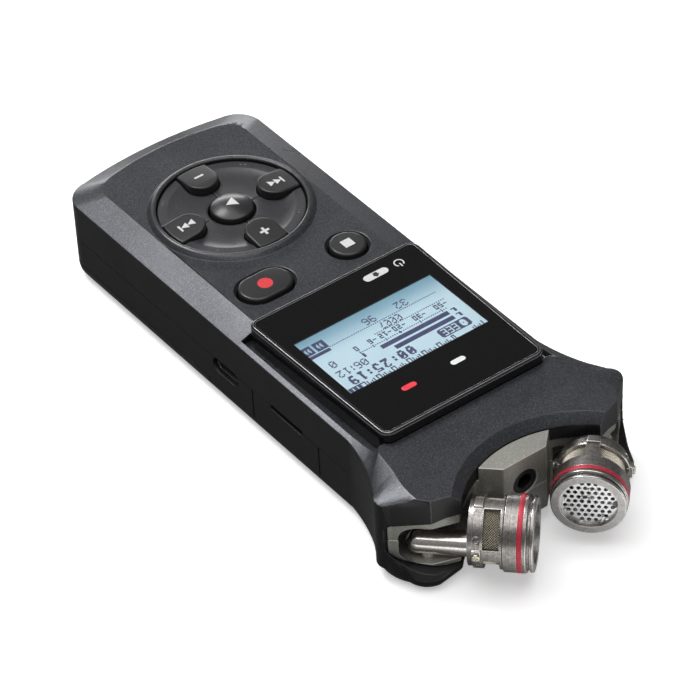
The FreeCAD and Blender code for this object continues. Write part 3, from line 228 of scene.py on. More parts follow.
# ---- rear case and battery door ----------------------------------------------------
# The moulded back half with the sliding door over the two cells. Plain satin black plastic,
# a little coarser on the back; the door clips round the edges of the back.
rear_black = grained("satin black back", (0.011, 0.011, 0.012), (0.026, 0.026, 0.028), 1800, 0.25, 0.36,
                     bump=0.18)
rear_case = eased("rear_case", [rear_black, satin_black_with_shade], 0.18 * MM, sharp=34)
# The side walls get the slightly darker wall black, a painted shade.
paint_where(rear_case, 1, lambda face: abs(face.normal.z) < 0.3)
eased("battery_door", [rear_black], 0.15 * MM, sharp=34)

# ---- chassis between the horns --------------------------------------------------------
# Two die-cast halves that carry the microphone arms and the nose with the input socket.
# Sprayed a warm silver grey with coarse flecks; the rounded edges, those of the arm slots among them, get a
# brighter finish, a painted highlight.
chassis_grey = grained("warm silver chassis paint", (0.26, 0.26, 0.23), (0.52, 0.515, 0.47), 5200, 0.7, 0.40,
                       metal=0.6, bump=0.25)
chassis_edge_highlight = grained("chassis edge, painted highlight", (0.45, 0.44, 0.40), (0.75, 0.74, 0.70), 2400, 0.5, 0.30,
                       metal=0.7)
for half in ("chassis_upper", "chassis_lower"):
    eased(half, [chassis_grey, chassis_edge_highlight], 0.16 * MM, sharp=30, edge_finish=1)

# ---- display ------------------------------------------------------------------------
# Polished black frame with a clear window, a black print behind it and a lit picture.
# The frame is glued on the case; the window drops into it. Two lamps shine through the print.
def repaint(finish, *nodes):
    """Gives CAD nodes that keep their shape this finish alone."""
    for node in nodes:
        materials = frame["nodes"][node].data.materials
        materials.clear()
        materials.append(finish)


frame_black = grained("polished frame black", (0.006, 0.006, 0.007), (0.012, 0.012, 0.013), 900, 0.1, 0.14,
                      spread=0.03, bump=0.02, coat=0.6)
frame_edge_highlight = grained("frame edge, painted highlight", (0.16, 0.16, 0.17), (0.34, 0.34, 0.35), 1500, 0.2, 0.22, metal=0.6,
                     bump=0.03)
# The rounded edges of the frame get a much lighter metal finish, a painted highlight.
eased("display_frame", [frame_black, frame_edge_highlight], 0.12 * MM, sharp=30, edge_finish=1)
print_black = grained("black print", (0.004, 0.004, 0.004), (0.008, 0.008, 0.009), 1200, 0.1, 0.45, bump=0.03)
repaint(print_black, "display_mask")

window_clear = bpy.data.materials.new("clear window")
window_clear.use_nodes = True
tree = window_clear.node_tree
shader = tree.nodes["Principled BSDF"]
shader.inputs["Base Color"].default_value = (0.96, 0.97, 0.98, 1)
shader.inputs["Transmission Weight"].default_value = 1.0
shader.inputs["IOR"].default_value = 1.49
wiped = put(tree, "TexNoise", Scale=90.0, Detail=3.0)
tree.links.new(put(tree, "TexCoord").outputs["Object"], wiped.inputs["Vector"])
wipe_range = put(tree, "MapRange", From_Min=0.35, From_Max=0.75, To_Min=0.015, To_Max=0.05)
tree.links.new(wiped.outputs[0], wipe_range.inputs[0])
tree.links.new(wipe_range.outputs[0], shader.inputs["Roughness"])
repaint(window_clear, "display_window")
window = frame["nodes"]["display_window"]

lcd_low, lcd_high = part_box("lcd_panel")
lcd_border = 0.8 * MM
lcd_left = lcd_low.x + lcd_border
lcd_right = lcd_high.x - lcd_border
lcd_base = lcd_low.y + lcd_border
lcd_head = lcd_high.y - lcd_border
lcd_glow = bpy.data.materials.new("pale blue backlight")
lcd_glow.use_nodes = True
tree = lcd_glow.node_tree
shader = tree.nodes["Principled BSDF"]
spread_out = put(tree, "SeparateXYZ")
tree.links.new(put(tree, "TexCoord").outputs["Object"], spread_out.inputs[0])
from_base = put(tree, "MapRange", From_Min=lcd_base - 1 * MM, From_Max=lcd_base + 9 * MM,
                interpolation_type="SMOOTHSTEP")
tree.links.new(spread_out.outputs["Y"], from_base.inputs[0])
cells = put(tree, "TexNoise", Scale=260.0, Detail=2.0)
uneven = put(tree, "MapRange", From_Min=0.3, From_Max=0.7, To_Min=-0.08, To_Max=0.08)
tree.links.new(cells.outputs[0], uneven.inputs[0])
light_share = put(tree, "Math", operation="ADD", use_clamp=True)
tree.links.new(from_base.outputs[0], light_share.inputs[0])
tree.links.new(uneven.outputs[0], light_share.inputs[1])
glow = put(tree, "ValToRGB")
glow.color_ramp.elements[0].color = (0.14, 0.29, 0.38, 1)
glow.color_ramp.elements[1].color = (0.45, 0.59, 0.65, 1)
tree.links.new(light_share.outputs[0], glow.inputs[0])
tree.links.new(glow.outputs[0], shader.inputs["Base Color"])
tree.links.new(glow.outputs[0], shader.inputs["Emission Color"])
shader.inputs["Emission Strength"].default_value = 0.62
shader.inputs["Roughness"].default_value = 0.5
repaint(lcd_glow, "lcd_panel")

# The picture: level bars, counters and plain boxes in square dots on the lit panel.
DOTS_ACROSS = 128
DOTS_UP = 64
DIGITS = {
    "0": ".###. #...# #..## #.#.# ##..# #...# .###.", "1": "..#.. .##.. ..#.. ..#.. ..#.. ..#.. .###.",
    "2": ".###. #...# ....# ...#. ..#.. .#... #####", "3": ".###. #...# ....# ..##. ....# #...# .###.",
    "5": "##### #.... ####. ....# ....# #...# .###.", "6": ".###. #.... #.... ####. #...# #...# .###.",
    "7": "##### ....# ...#. ..#.. ..#.. .#... .#...", "9": ".###. #...# #...# .#### ....# ....# .###.",
    ":": ". # # . # # .",
    "1small": ".#. ##. .#. .#. ###", "2small": "### ..# ### #.. ###", "3small": "### ..# ### ..# ###",
    "5small": "### #.. ### ..# ###", "6small": "### #.. ### #.# ###", "0small": "### #.# #.# #.# ###",
    "-small": "... ... ### ... ...",
}
lit = set()


def fill_dots(x0, y0, x1, y1, on=True):
    block = {(x, y) for x in range(x0, x1) for y in range(y0, y1)}
    if on:
        lit.update(block)
    else:
        lit.difference_update(block)


def write_dots(text, x, y, kind="", wide=1.0, high=1.0):
    """Writes digits with their lower left corner at x, y, stretched by whole dots."""
    for sign in text:
        rows = DIGITS[sign + kind].split()
        across = round(len(rows[0]) * wide) if len(rows[0]) > 1 else 1
        tall = round(len(rows) * high)
        for column in range(across):
            for line in range(tall):
                from_row = rows[len(rows) - 1 - int(line * len(rows) / tall)]
                if from_row[int(column * len(from_row) / across)] == "#":
                    fill_dots(x + column, y + line, x + column + 1, y + line + 1)
        x += across + 1


fill_dots(4, 59, 121, 60)
for left in (4, 32, 46, 60, 74, 88, 102):
    across = 25 if left == 4 else 10
    fill_dots(left, 59, left + across, 60, on=False)
    fill_dots(left - 1, 59, left, 64)
    fill_dots(left + across, 59, left + across + 1, 64)
    for line in range(4):
        fill_dots(left + 2 + line * 2, 60 + (left + line) % 3, left + 3 + line * 2, 64)
fill_dots(116, 59, 127, 64)
fill_dots(119, 60, 120, 63, on=False)
fill_dots(123, 60, 124, 63, on=False)
fill_dots(9, 49, 37, 58)
fill_dots(9, 49, 10, 50, on=False)
fill_dots(9, 57, 10, 58, on=False)
fill_dots(36, 49, 37, 50, on=False)
fill_dots(36, 57, 37, 58, on=False)
fill_dots(12, 51, 17, 56, on=False)
fill_dots(13, 50, 16, 57, on=False)
fill_dots(14, 53, 15, 54)
for left in (20, 25, 30):
    fill_dots(left, 50, left + 4, 57, on=False)
    fill_dots(left + 1, 51, left + 4, 53)
    fill_dots(left + 1, 54, left + 4, 56)
for nudge in (0, 1):
    for left, text in ((61, "0"), (69, "0"), (84, "2"), (92, "5"), (106, "1"), (114, "9")):
        write_dots(text, left + nudge, 49, high=1.3)
    write_dots(":", 78 + nudge, 50)
    write_dots(":", 101 + nudge, 50)
write_dots("06", 96, 40)
write_dots(":", 109, 40)
write_dots("12", 112, 40)
fill_dots(16, 43, 71, 47)
fill_dots(16, 37, 79, 41)
for low in (37, 43):
    fill_dots(9, low, 11, low + 4)
    fill_dots(11, low, 13, low + 1)
fill_dots(93, 36, 95, 40)
for tick in range(14, 96, 2):
    fill_dots(tick, 34, tick + 1, 35)
for mark in (18, 38, 57, 70, 82, 94):
    fill_dots(mark, 33, mark + 1, 36)
for left, text in ((10, "-50"), (30, "-30"), (49, "-20"), (62, "-12"), (76, "-6"), (93, "0")):
    write_dots(text, left, 27, "small")
write_dots("0007", 46, 18, wide=0.9)
for dash in range(9, 108, 2):
    fill_dots(dash, 16, dash + 1, 17)
    if dash < 74:
        fill_dots(dash, 25, dash + 1, 26)
write_dots("32", 32, 8)
write_dots("96", 62, 8)
fill_dots(109, 17, 128, 20)
fill_dots(108, 7, 118, 16)
fill_dots(120, 7, 128, 16)
for left in (111, 114, 122, 125):
    fill_dots(left, 9, left + 1, 14, on=False)
    fill_dots(left + 1, 10, left + 2, 13, on=False)
write_dots("0", 116, 29)

dot_width = (lcd_right - lcd_left) / DOTS_ACROSS
dot_height = (lcd_head - lcd_base) / DOTS_UP
bpy.ops.mesh.primitive_grid_add(x_subdivisions=DOTS_ACROSS, y_subdivisions=DOTS_UP, size=1)
picture = bpy.context.object
picture.name = "lcd_picture"
for vertex in picture.data.vertices:
    vertex.co.x = (lcd_left + lcd_right) / 2 + vertex.co.x * (lcd_right - lcd_left)
    vertex.co.y = (lcd_base + lcd_head) / 2 + vertex.co.y * (lcd_head - lcd_base)
    vertex.co.z = lcd_high.z + 0.03 * MM
pick(picture)
bpy.ops.object.mode_set(mode="EDIT")
bpy.ops.mesh.select_all(action="DESELECT")
bpy.ops.mesh.select_mode(type="FACE")
bpy.ops.object.mode_set(mode="OBJECT")
for face in picture.data.polygons:
    across = int((face.center.x - lcd_left) / dot_width)
    up = int((face.center.y - lcd_base) / dot_height)
    face.select = (across, up) not in lit
bpy.ops.object.mode_set(mode="EDIT")
bpy.ops.mesh.delete(type="FACE")
bpy.ops.mesh.select_all(action="SELECT")
bpy.ops.mesh.dissolve_limited(angle_limit=math.radians(1))
bpy.ops.object.mode_set(mode="OBJECT")
film = picture.modifiers.new("film", "SOLIDIFY")
film.thickness = 0.02 * MM
bpy.ops.object.modifier_apply(modifier="film")
dot_blue = grained("slate blue dots", (0.055, 0.06, 0.19), (0.075, 0.08, 0.24), 900, 0.1, 0.5, bump=0.0)
picture.data.materials.append(dot_blue)
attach(picture, "recorder")

lamp_white = grained("milky lamp", (0.75, 0.75, 0.75), (0.95, 0.95, 0.95), 900, 0.2, 0.35, bump=0.02)
lamp_red = grained("red lamp", (0.85, 0.03, 0.06), (1.0, 0.06, 0.09), 900, 0.2, 0.35, bump=0.02)
for lamp, finish, shine in (
        ("peak_lamp", lamp_white, (0.9, 0.9, 0.9, 1)),
        ("record_lamp", lamp_red, (1.0, 0.03, 0.06, 1))):
    shader = finish.node_tree.nodes["Principled BSDF"]
    shader.inputs["Emission Color"].default_value = shine
    shader.inputs["Emission Strength"].default_value = 0.55
    repaint(finish, lamp)

# ---- keys -----------------------------------------------------------------------------
# Eleven satin black caps over one silicone mat: four raised keys and four dished quadrants
# round the play key, and the stop and record keys above them. Each rides on its own body.
key_black = grained("satin key black", (0.010, 0.010, 0.011), (0.024, 0.024, 0.026), 2400, 0.3, 0.33,
                    bump=0.10, coat=0.1)
dish_black = grained("satin dish black", (0.022, 0.022, 0.025), (0.050, 0.050, 0.056), 2400, 0.3, 0.36,
                     bump=0.12)
key_rim_highlight = grained("key rim, painted highlight", (0.10, 0.10, 0.105), (0.20, 0.20, 0.21), 2400, 0.3, 0.26, metal=0.2,
                  bump=0.05)
keys = {}
for name in ("plus", "minus", "skip_back", "skip_forward"):
    keys[name] = eased("key_" + name, [key_black], 0.45 * MM, sharp=50, steps=3)
# The rounded rims of the dished quadrants get a lighter finish, a painted highlight.
for name in ("quick", "menu", "playback", "mark"):
    keys[name] = eased("key_" + name, [dish_black, key_rim_highlight], 0.10 * MM, sharp=50, edge_finish=1)
for name in ("stop", "record"):
    keys[name] = eased("key_" + name, [key_black], 0.0, flat=0.05)

play_low, play_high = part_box("key_play")
play_middle = (play_low + play_high) / 2
play_radius = (play_high.x - play_low.x) / 2
play_crown = 1.5 * MM
play_turn = 0.5 * MM
play_turn_angle = math.radians(65)
bpy.ops.mesh.primitive_circle_add(vertices=96, radius=play_radius, fill_type="NGON",
                                  location=(play_middle.x, play_middle.y, play_low.z))
play_cap = bpy.context.object
play_cap.name = "key_play_cap"
pick(play_cap)
bpy.ops.object.transform_apply(location=True)
bpy.ops.object.mode_set(mode="EDIT")
bpy.ops.mesh.select_all(action="SELECT")
shoulder = play_high.z - play_crown
rings = [(play_radius, shoulder)]
for step in range(1, 5):
    turn = step * play_turn_angle / 4
    rings.append((play_radius - play_turn * (1 - math.cos(turn)), shoulder + play_turn * math.sin(turn)))
rim_radius, rim_z = rings[-1]
for step in range(1, 9):
    inward = rim_radius * (1 - step / 8.5)
    rings.append((inward, rim_z + (play_high.z - rim_z) * (1 - (inward / rim_radius) ** 2)))
held = (play_radius, play_low.z)
for ring_radius, ring_z in rings:
    bpy.ops.mesh.extrude_region_move(TRANSFORM_OT_translate={"value": (0, 0, ring_z - held[1])})
    shrink = ring_radius / held[0]
    bpy.ops.transform.resize(value=(shrink, shrink, 1),
                             center_override=(play_middle.x, play_middle.y, ring_z))
    held = (ring_radius, ring_z)
bpy.ops.mesh.select_all(action="SELECT")
bpy.ops.mesh.normals_make_consistent(inside=False)
bpy.ops.object.mode_set(mode="OBJECT")
bpy.ops.object.shade_smooth_by_angle(angle=math.radians(40))
play_cap.data.materials.append(key_black)
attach(play_cap, "key_play")
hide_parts("key_play")
keys["play"] = play_cap

# ---- symbols on the keys ------------------------------------------------------------------
# Thin prints on the key tops, laid on their surface: play, skip, plus, minus, stop and the
# red record dot. Each is a skin of paint that moves with its key.
symbol_white = grained("white key print", (0.60, 0.60, 0.61), (0.74, 0.74, 0.74), 1800, 0.1, 0.5, bump=0.05)
symbol_red = grained("red key print", (0.62, 0.02, 0.03), (0.78, 0.04, 0.05), 1800, 0.1, 0.42, bump=0.05)


def flat_bar(x, y, width, length):
    bpy.ops.mesh.primitive_plane_add(size=1, location=(x, y, 0))
    bar = bpy.context.object
    bar.scale = (width, length, 1)
    return bar


def flat_triangle(x, y, reach, height):
    """Triangle with its point at x + reach; a negative reach points it the other way."""
    bpy.ops.mesh.primitive_circle_add(vertices=3, radius=1, fill_type="NGON", location=(x, y, 0))
    triangle = bpy.context.object
    corners = [(reach, 0), (0, height / 2), (0, -height / 2)]
    for vertex, (across, up) in zip(triangle.data.vertices, corners):
        vertex.co = (across, up, 0)
    return triangle


def print_on(target, name, shapes, finish, body, above=0.02 * MM):
    """Joins flat shapes, lays them on the target from above and gives them a skin."""
    pick(*shapes)
    if len(shapes) > 1:
        bpy.ops.object.join()
    symbol = bpy.context.object
    symbol.name = name
    bpy.ops.object.transform_apply(location=True, rotation=True, scale=True)
    bpy.ops.object.mode_set(mode="EDIT")
    bpy.ops.mesh.select_all(action="SELECT")
    bpy.ops.mesh.quads_convert_to_tris()
    bpy.ops.mesh.subdivide(number_cuts=3)
    bpy.ops.transform.translate(value=(0, 0, 0.04))
    bpy.ops.object.mode_set(mode="OBJECT")
    laid = symbol.modifiers.new("laid", "SHRINKWRAP")
    laid.target = target
    laid.wrap_method = "PROJECT"
    laid.use_project_z = True
    laid.use_negative_direction = True
    laid.use_positive_direction = False
    laid.offset = above
    bpy.ops.object.modifier_apply(modifier="laid")
    bpy.ops.object.mode_set(mode="EDIT")
    bpy.ops.mesh.select_all(action="SELECT")
    bpy.ops.mesh.normals_make_consistent(inside=False)
    bpy.ops.object.mode_set(mode="OBJECT")
    if sum(face.normal.z for face in symbol.data.polygons) < 0:
        symbol.data.flip_normals()
    skin = symbol.modifiers.new("skin", "SOLIDIFY")
    skin.thickness = 0.05 * MM
    bpy.ops.object.modifier_apply(modifier="skin")
    symbol.data.materials.append(finish)
    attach(symbol, body)
    return symbol


def middle(node):
    low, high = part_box(node)
    return (low + high) / 2


wheel = middle("key_play")
triangle_reach = 2.6 * MM
triangle_height = 3.2 * MM
play_mark = flat_triangle(wheel.x - 1.1 * MM, wheel.y, triangle_reach, triangle_height)
print_on(keys["play"], "play_symbol", [play_mark], symbol_white, "key_play")
skip_out = 12.4 * MM
for name, way in (("skip_forward", 1), ("skip_back", -1)):
    x = wheel.x + way * skip_out
    shapes = [
        flat_triangle(x - way * 1.9 * MM, wheel.y, way * 1.7 * MM, 2.0 * MM),
        flat_triangle(x - way * 0.2 * MM, wheel.y, way * 1.7 * MM, 2.0 * MM),
        flat_bar(x + way * 1.75 * MM, wheel.y, 0.45 * MM, 2.2 * MM),
    ]
    print_on(keys[name], name + "_symbol", shapes, symbol_white, "key_" + name)
sign_out = 12.9 * MM
sign_length = 2.4 * MM
sign_width = 0.62 * MM
plus_y = wheel.y + sign_out
stub = (sign_length - sign_width) / 4 + sign_width / 2
print_on(keys["plus"], "plus_symbol", [
    flat_bar(wheel.x, plus_y, sign_length, sign_width),
    flat_bar(wheel.x, plus_y + stub, sign_width, sign_length / 2 - sign_width / 2),
    flat_bar(wheel.x, plus_y - stub, sign_width, sign_length / 2 - sign_width / 2)],
    symbol_white, "key_plus")
print_on(keys["minus"], "minus_symbol", [flat_bar(wheel.x, wheel.y - sign_out, sign_length, sign_width)],
         symbol_white, "key_minus")
stop = middle("key_stop")
print_on(keys["stop"], "stop_symbol", [flat_bar(stop.x, stop.y, 2.6 * MM, 2.6 * MM)],
         symbol_white, "key_stop")
record = middle("key_record")
bpy.ops.mesh.primitive_circle_add(vertices=48, radius=1.75 * MM, fill_type="TRIFAN",
                                  location=(record.x, record.y, 0))
print_on(keys["record"], "record_symbol", [bpy.context.object], symbol_red, "key_record")

# ---- prints on the window ------------------------------------------------------------------
# White prints along the base edge of the window: a power mark and a pill with a small house.
# They are screen printed, a few hundredths of a millimetre thick.
window_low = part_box("display_window")[0]
power_x = window_low.x + 6.2 * MM
power_y = window_low.y + 3.6 * MM
arc_outer = 1.25 * MM
bpy.ops.mesh.primitive_circle_add(vertices=40, radius=arc_outer, fill_type="NGON",
                                  location=(power_x, power_y, 0))
arc = bpy.context.object
pick(arc)
bpy.ops.object.mode_set(mode="EDIT")
bpy.ops.mesh.select_all(action="SELECT")
bpy.ops.mesh.inset(thickness=0.32 * MM)
bpy.ops.mesh.delete(type="FACE")
bpy.ops.mesh.select_all(action="DESELECT")
bpy.ops.object.mode_set(mode="OBJECT")
for face in arc.data.polygons:
    face.select = abs(math.atan2(face.center.x, face.center.y)) < math.radians(38)
bpy.ops.object.mode_set(mode="EDIT")
bpy.ops.mesh.delete(type="FACE")
bpy.ops.object.mode_set(mode="OBJECT")
power_bar = flat_bar(power_x, power_y + 0.80 * MM, 0.32 * MM, 1.3 * MM)
print_on(window, "power_print", [arc, power_bar], symbol_white, "recorder", above=0.01 * MM)
pill_x = power_x + 6.4 * MM
pill_half = 2.2 * MM
pill_radius = 1.05 * MM
bpy.ops.mesh.primitive_circle_add(vertices=32, radius=pill_radius, fill_type="NGON",
                                  location=(pill_x, power_y, 0))
home_pill = bpy.context.object
for vertex in home_pill.data.vertices:
    vertex.co.x += math.copysign(pill_half, vertex.co.x)
print_on(window, "home_pill_print", [home_pill], symbol_white, "recorder", above=0.01 * MM)
house_wall = flat_bar(pill_x, power_y - 0.35 * MM, 1.1 * MM, 0.7 * MM)
bpy.ops.mesh.primitive_circle_add(vertices=3, radius=0.7 * MM, fill_type="NGON",
                                  location=(pill_x, power_y + 0.28 * MM, 0))
house_roof = bpy.context.object
for vertex, (across, up) in zip(house_roof.data.vertices, ((0, 0.55), (-0.9, -0.28), (0.9, -0.28))):
    vertex.co = (across * MM, up * MM, 0)
print_on(window, "house_print", [house_wall, house_roof], print_black, "recorder",
         above=0.07 * MM)

# ---- microphones --------------------------------------------------------------------------
# Two turned nickel heads on bent arms: back cap, open cage over a woven wire screen, front
# ring with a crimson band, and a punched plate over the capsule. Screwed together from behind.
turned_effect, taken, given = new_effect(
    "lathe lines",
    [("Vector", "Vector"), ("Lines", "Float"), ("Dark", "Color"), ("Light", "Color"), ("Roughness", "Float")],
    [("Color", "Color"), ("Roughness", "Float"), ("Height", "Float")])
tree = turned_effect
apart = put(tree, "SeparateXYZ")
tree.links.new(taken["Vector"], apart.inputs[0])
cross = put(tree, "CombineXYZ")
tree.links.new(apart.outputs["X"], cross.inputs["X"])
tree.links.new(apart.outputs["Z"], cross.inputs["Z"])
radius = put(tree, "VectorMath", operation="LENGTH")
tree.links.new(cross.outputs[0], radius.inputs[0])
profile = put(tree, "CombineXYZ")
tree.links.new(apart.outputs["Y"], profile.inputs["X"])
tree.links.new(radius.outputs["Value"], profile.inputs["Y"])
lines = put(tree, "TexNoise", Detail=4.0, Roughness=0.7)
tree.links.new(profile.outputs[0], lines.inputs["Vector"])
tree.links.new(taken["Lines"], lines.inputs["Scale"])
spots = put(tree, "TexNoise", Scale=1500.0, Detail=3.0, Roughness=0.7)
tree.links.new(taken["Vector"], spots.inputs["Vector"])
mixed = put(tree, "Math", operation="ADD")
tree.links.new(lines.outputs[0], mixed.inputs[0])
tree.links.new(spots.outputs[0], mixed.inputs[1])
share = put(tree, "MapRange", From_Min=0.75, From_Max=1.25)
tree.links.new(mixed.outputs[0], share.inputs[0])
tree.links.new(blend_colours(tree, share.outputs[0], taken["Dark"], taken["Light"]), given["Color"])
sheen = put(tree, "Math", operation="MULTIPLY_ADD")
sheen.inputs[1].default_value = -0.10
tree.links.new(share.outputs[0], sheen.inputs[0])
tree.links.new(taken["Roughness"], sheen.inputs[2])
tree.links.new(sheen.outputs[0], given["Roughness"])
tree.links.new(lines.outputs[0], given["Height"])


def turned(name, pivot, angle, dark, light, roughness, lines, bump):
    """Metal turned round a microphone's axis, which leaves the pivot at this angle."""
    finish = bpy.data.materials.new(name)
    finish.use_nodes = True
    tree = finish.node_tree
    shader = tree.nodes["Principled BSDF"]
    mapping = put(tree, "Mapping", vector_type="TEXTURE")
    mapping.inputs["Location"].default_value = pivot
    mapping.inputs["Rotation"].default_value = (0, 0, angle)
    tree.links.new(put(tree, "TexCoord").outputs["Object"], mapping.inputs["Vector"])
    effect = put(tree, "Group")
    effect.node_tree = turned_effect
    tree.links.new(mapping.outputs[0], effect.inputs["Vector"])
    effect.inputs["Lines"].default_value = lines
    effect.inputs["Dark"].default_value = (*dark, 1)
    effect.inputs["Light"].default_value = (*light, 1)
    effect.inputs["Roughness"].default_value = roughness
    relief = put(tree, "Bump", Strength=bump, Distance=0.00003)
    tree.links.new(effect.outputs["Height"], relief.inputs["Height"])
    tree.links.new(effect.outputs["Color"], shader.inputs["Base Color"])
    tree.links.new(effect.outputs["Roughness"], shader.inputs["Roughness"])
    tree.links.new(relief.outputs[0], shader.inputs["Normal"])
    shader.inputs["Metallic"].default_value = 1.0
    return finish


def place_on_mic(piece, pivot, angle):
    """Turns a piece made round the Y axis onto a microphone's axis and fixes it there."""
    piece.matrix_world = Matrix.Translation(pivot) @ Matrix.Rotation(angle, 4, "Z") @ piece.matrix_world
    pick(piece)
    bpy.ops.object.transform_apply(location=True, rotation=True, scale=True)


def on_axis(node, pivot, angle):
    """Points of a CAD node, seen from the pivot with Y along the microphone's axis."""
    back = Matrix.Rotation(-angle, 3, "Z")
    return [back @ (vertex.co - pivot) for vertex in frame["nodes"][node].data.vertices]


def woven_screen(name, radius, start, end, wire):
    """Sleeve of crossing wires round the Y axis, standing off in diamonds."""
    around = 78
    along = 8
    bpy.ops.mesh.primitive_grid_add(x_subdivisions=around, y_subdivisions=along, size=1)
    sleeve = bpy.context.object
    sleeve.name = name
    for vertex in sleeve.data.vertices:
        turn = (vertex.co.x + 0.5) * 2 * math.pi
        run = start + (vertex.co.y + 0.5) * (end - start)
        vertex.co = (radius * math.cos(turn), run, radius * math.sin(turn))
    pick(sleeve)
    bpy.ops.object.mode_set(mode="EDIT")
    bpy.ops.mesh.select_all(action="SELECT")
    bpy.ops.mesh.remove_doubles(threshold=1e-6)
    bpy.ops.object.mode_set(mode="OBJECT")
    corners = len(sleeve.data.vertices)
    bpy.ops.object.mode_set(mode="EDIT")
    bpy.ops.mesh.select_all(action="SELECT")
    bpy.ops.mesh.poke()
    bpy.ops.mesh.select_all(action="DESELECT")
    bpy.ops.mesh.select_mode(type="EDGE")
    bpy.ops.object.mode_set(mode="OBJECT")
    for edge in sleeve.data.edges:
        edge.select = edge.vertices[0] < corners and edge.vertices[1] < corners
    bpy.ops.object.mode_set(mode="EDIT")
    bpy.ops.mesh.dissolve_edges(use_verts=False)
    bpy.ops.object.mode_set(mode="OBJECT")
    wires = sleeve.modifiers.new("wires", "WIREFRAME")
    wires.thickness = wire
    wires.use_even_offset = False
    bpy.ops.object.modifier_apply(modifier="wires")
    return sleeve


def shade_sleeve(name, radius, start, end):
    """Thin open black sleeve just inside the woven screen: painted shade for the dark inside seen between the
    wires.
    """
    bpy.ops.mesh.primitive_cylinder_add(vertices=64, radius=radius, depth=end - start,
                                        end_fill_type="NOTHING", location=(0, (start + end) / 2, 0),
                                        rotation=(math.pi / 2, 0, 0))
    dark_sleeve = bpy.context.object
    dark_sleeve.name = name
    bpy.ops.object.transform_apply(location=True, rotation=True)
    thick = dark_sleeve.modifiers.new("thick", "SOLIDIFY")
    thick.thickness = 0.1 * MM
    bpy.ops.object.modifier_apply(modifier="thick")
    bpy.ops.object.shade_smooth_by_angle(angle=math.radians(40))
    return dark_sleeve


def pan_screw(name, radius, height):
    """Small pan head with a cross slot, its back at z = 0."""
    bpy.ops.mesh.primitive_cylinder_add(vertices=32, radius=radius, depth=height, location=(0, 0, height / 2))
    head = bpy.context.object
    head.name = name
    bpy.ops.object.transform_apply(location=True)
    dome = head.modifiers.new("dome", "BEVEL")
    dome.width = height * 0.7
    dome.segments = 4
    dome.limit_method = "ANGLE"
    dome.angle_limit = math.radians(60)
    pick(head)
    bpy.ops.object.modifier_apply(modifier="dome")
    for turn in (0, math.pi / 2):
        bpy.ops.mesh.primitive_cube_add(size=1, location=(0, 0, height), rotation=(0, 0, turn))
        cutter = bpy.context.object
        cutter.scale = (radius * 1.3, radius * 0.26, height * 0.9)
        slot = head.modifiers.new("slot", "BOOLEAN")
        slot.operation = "DIFFERENCE"
        slot.object = cutter
        pick(head)
        bpy.ops.object.modifier_apply(modifier="slot")
        bpy.data.objects.remove(cutter)
    pick(head)
    bpy.ops.object.shade_smooth_by_angle(angle=math.radians(35))
    return head


crimson = grained("crimson band", (0.42, 0.02, 0.045), (0.60, 0.045, 0.075), 2600, 0.4, 0.42, metal=0.35,
                  bump=0.1)
screw_bright = grained("brass screw plate", (0.55, 0.52, 0.40), (0.80, 0.76, 0.62), 1500, 0.4, 0.28,
                       metal=1.0, bump=0.05)
screen_wire = grained("champagne wire", (0.62, 0.57, 0.47), (0.92, 0.87, 0.76), 3000, 0.5, 0.42, metal=0.8,
                      bump=0.05)
sleeve_shade_black = grained("black sleeve, painted shade", (0.010, 0.009, 0.008), (0.030, 0.027, 0.024), 2600, 0.3, 0.8,
                      bump=0.2)
capsule_black = grained("capsule black", (0.004, 0.004, 0.004), (0.010, 0.010, 0.010), 1500, 0.1, 0.7)
NICKEL_DARK = (0.15, 0.136, 0.127)
NICKEL_LIGHT = (0.42, 0.40, 0.38)
band_radius = 8.47 * MM         # just proud of the front ring's groove
flange_middle = 11.15 * MM      # from the pivot to the screws in the back flange
cap_screw_seat = 7.35 * MM      # under the heads, from the axis
tab_top = 8.4 * MM
pivots = {joint["name"]: Vector(joint["pos_m"]) for joint in frame["joints"] if "pos_m" in joint}
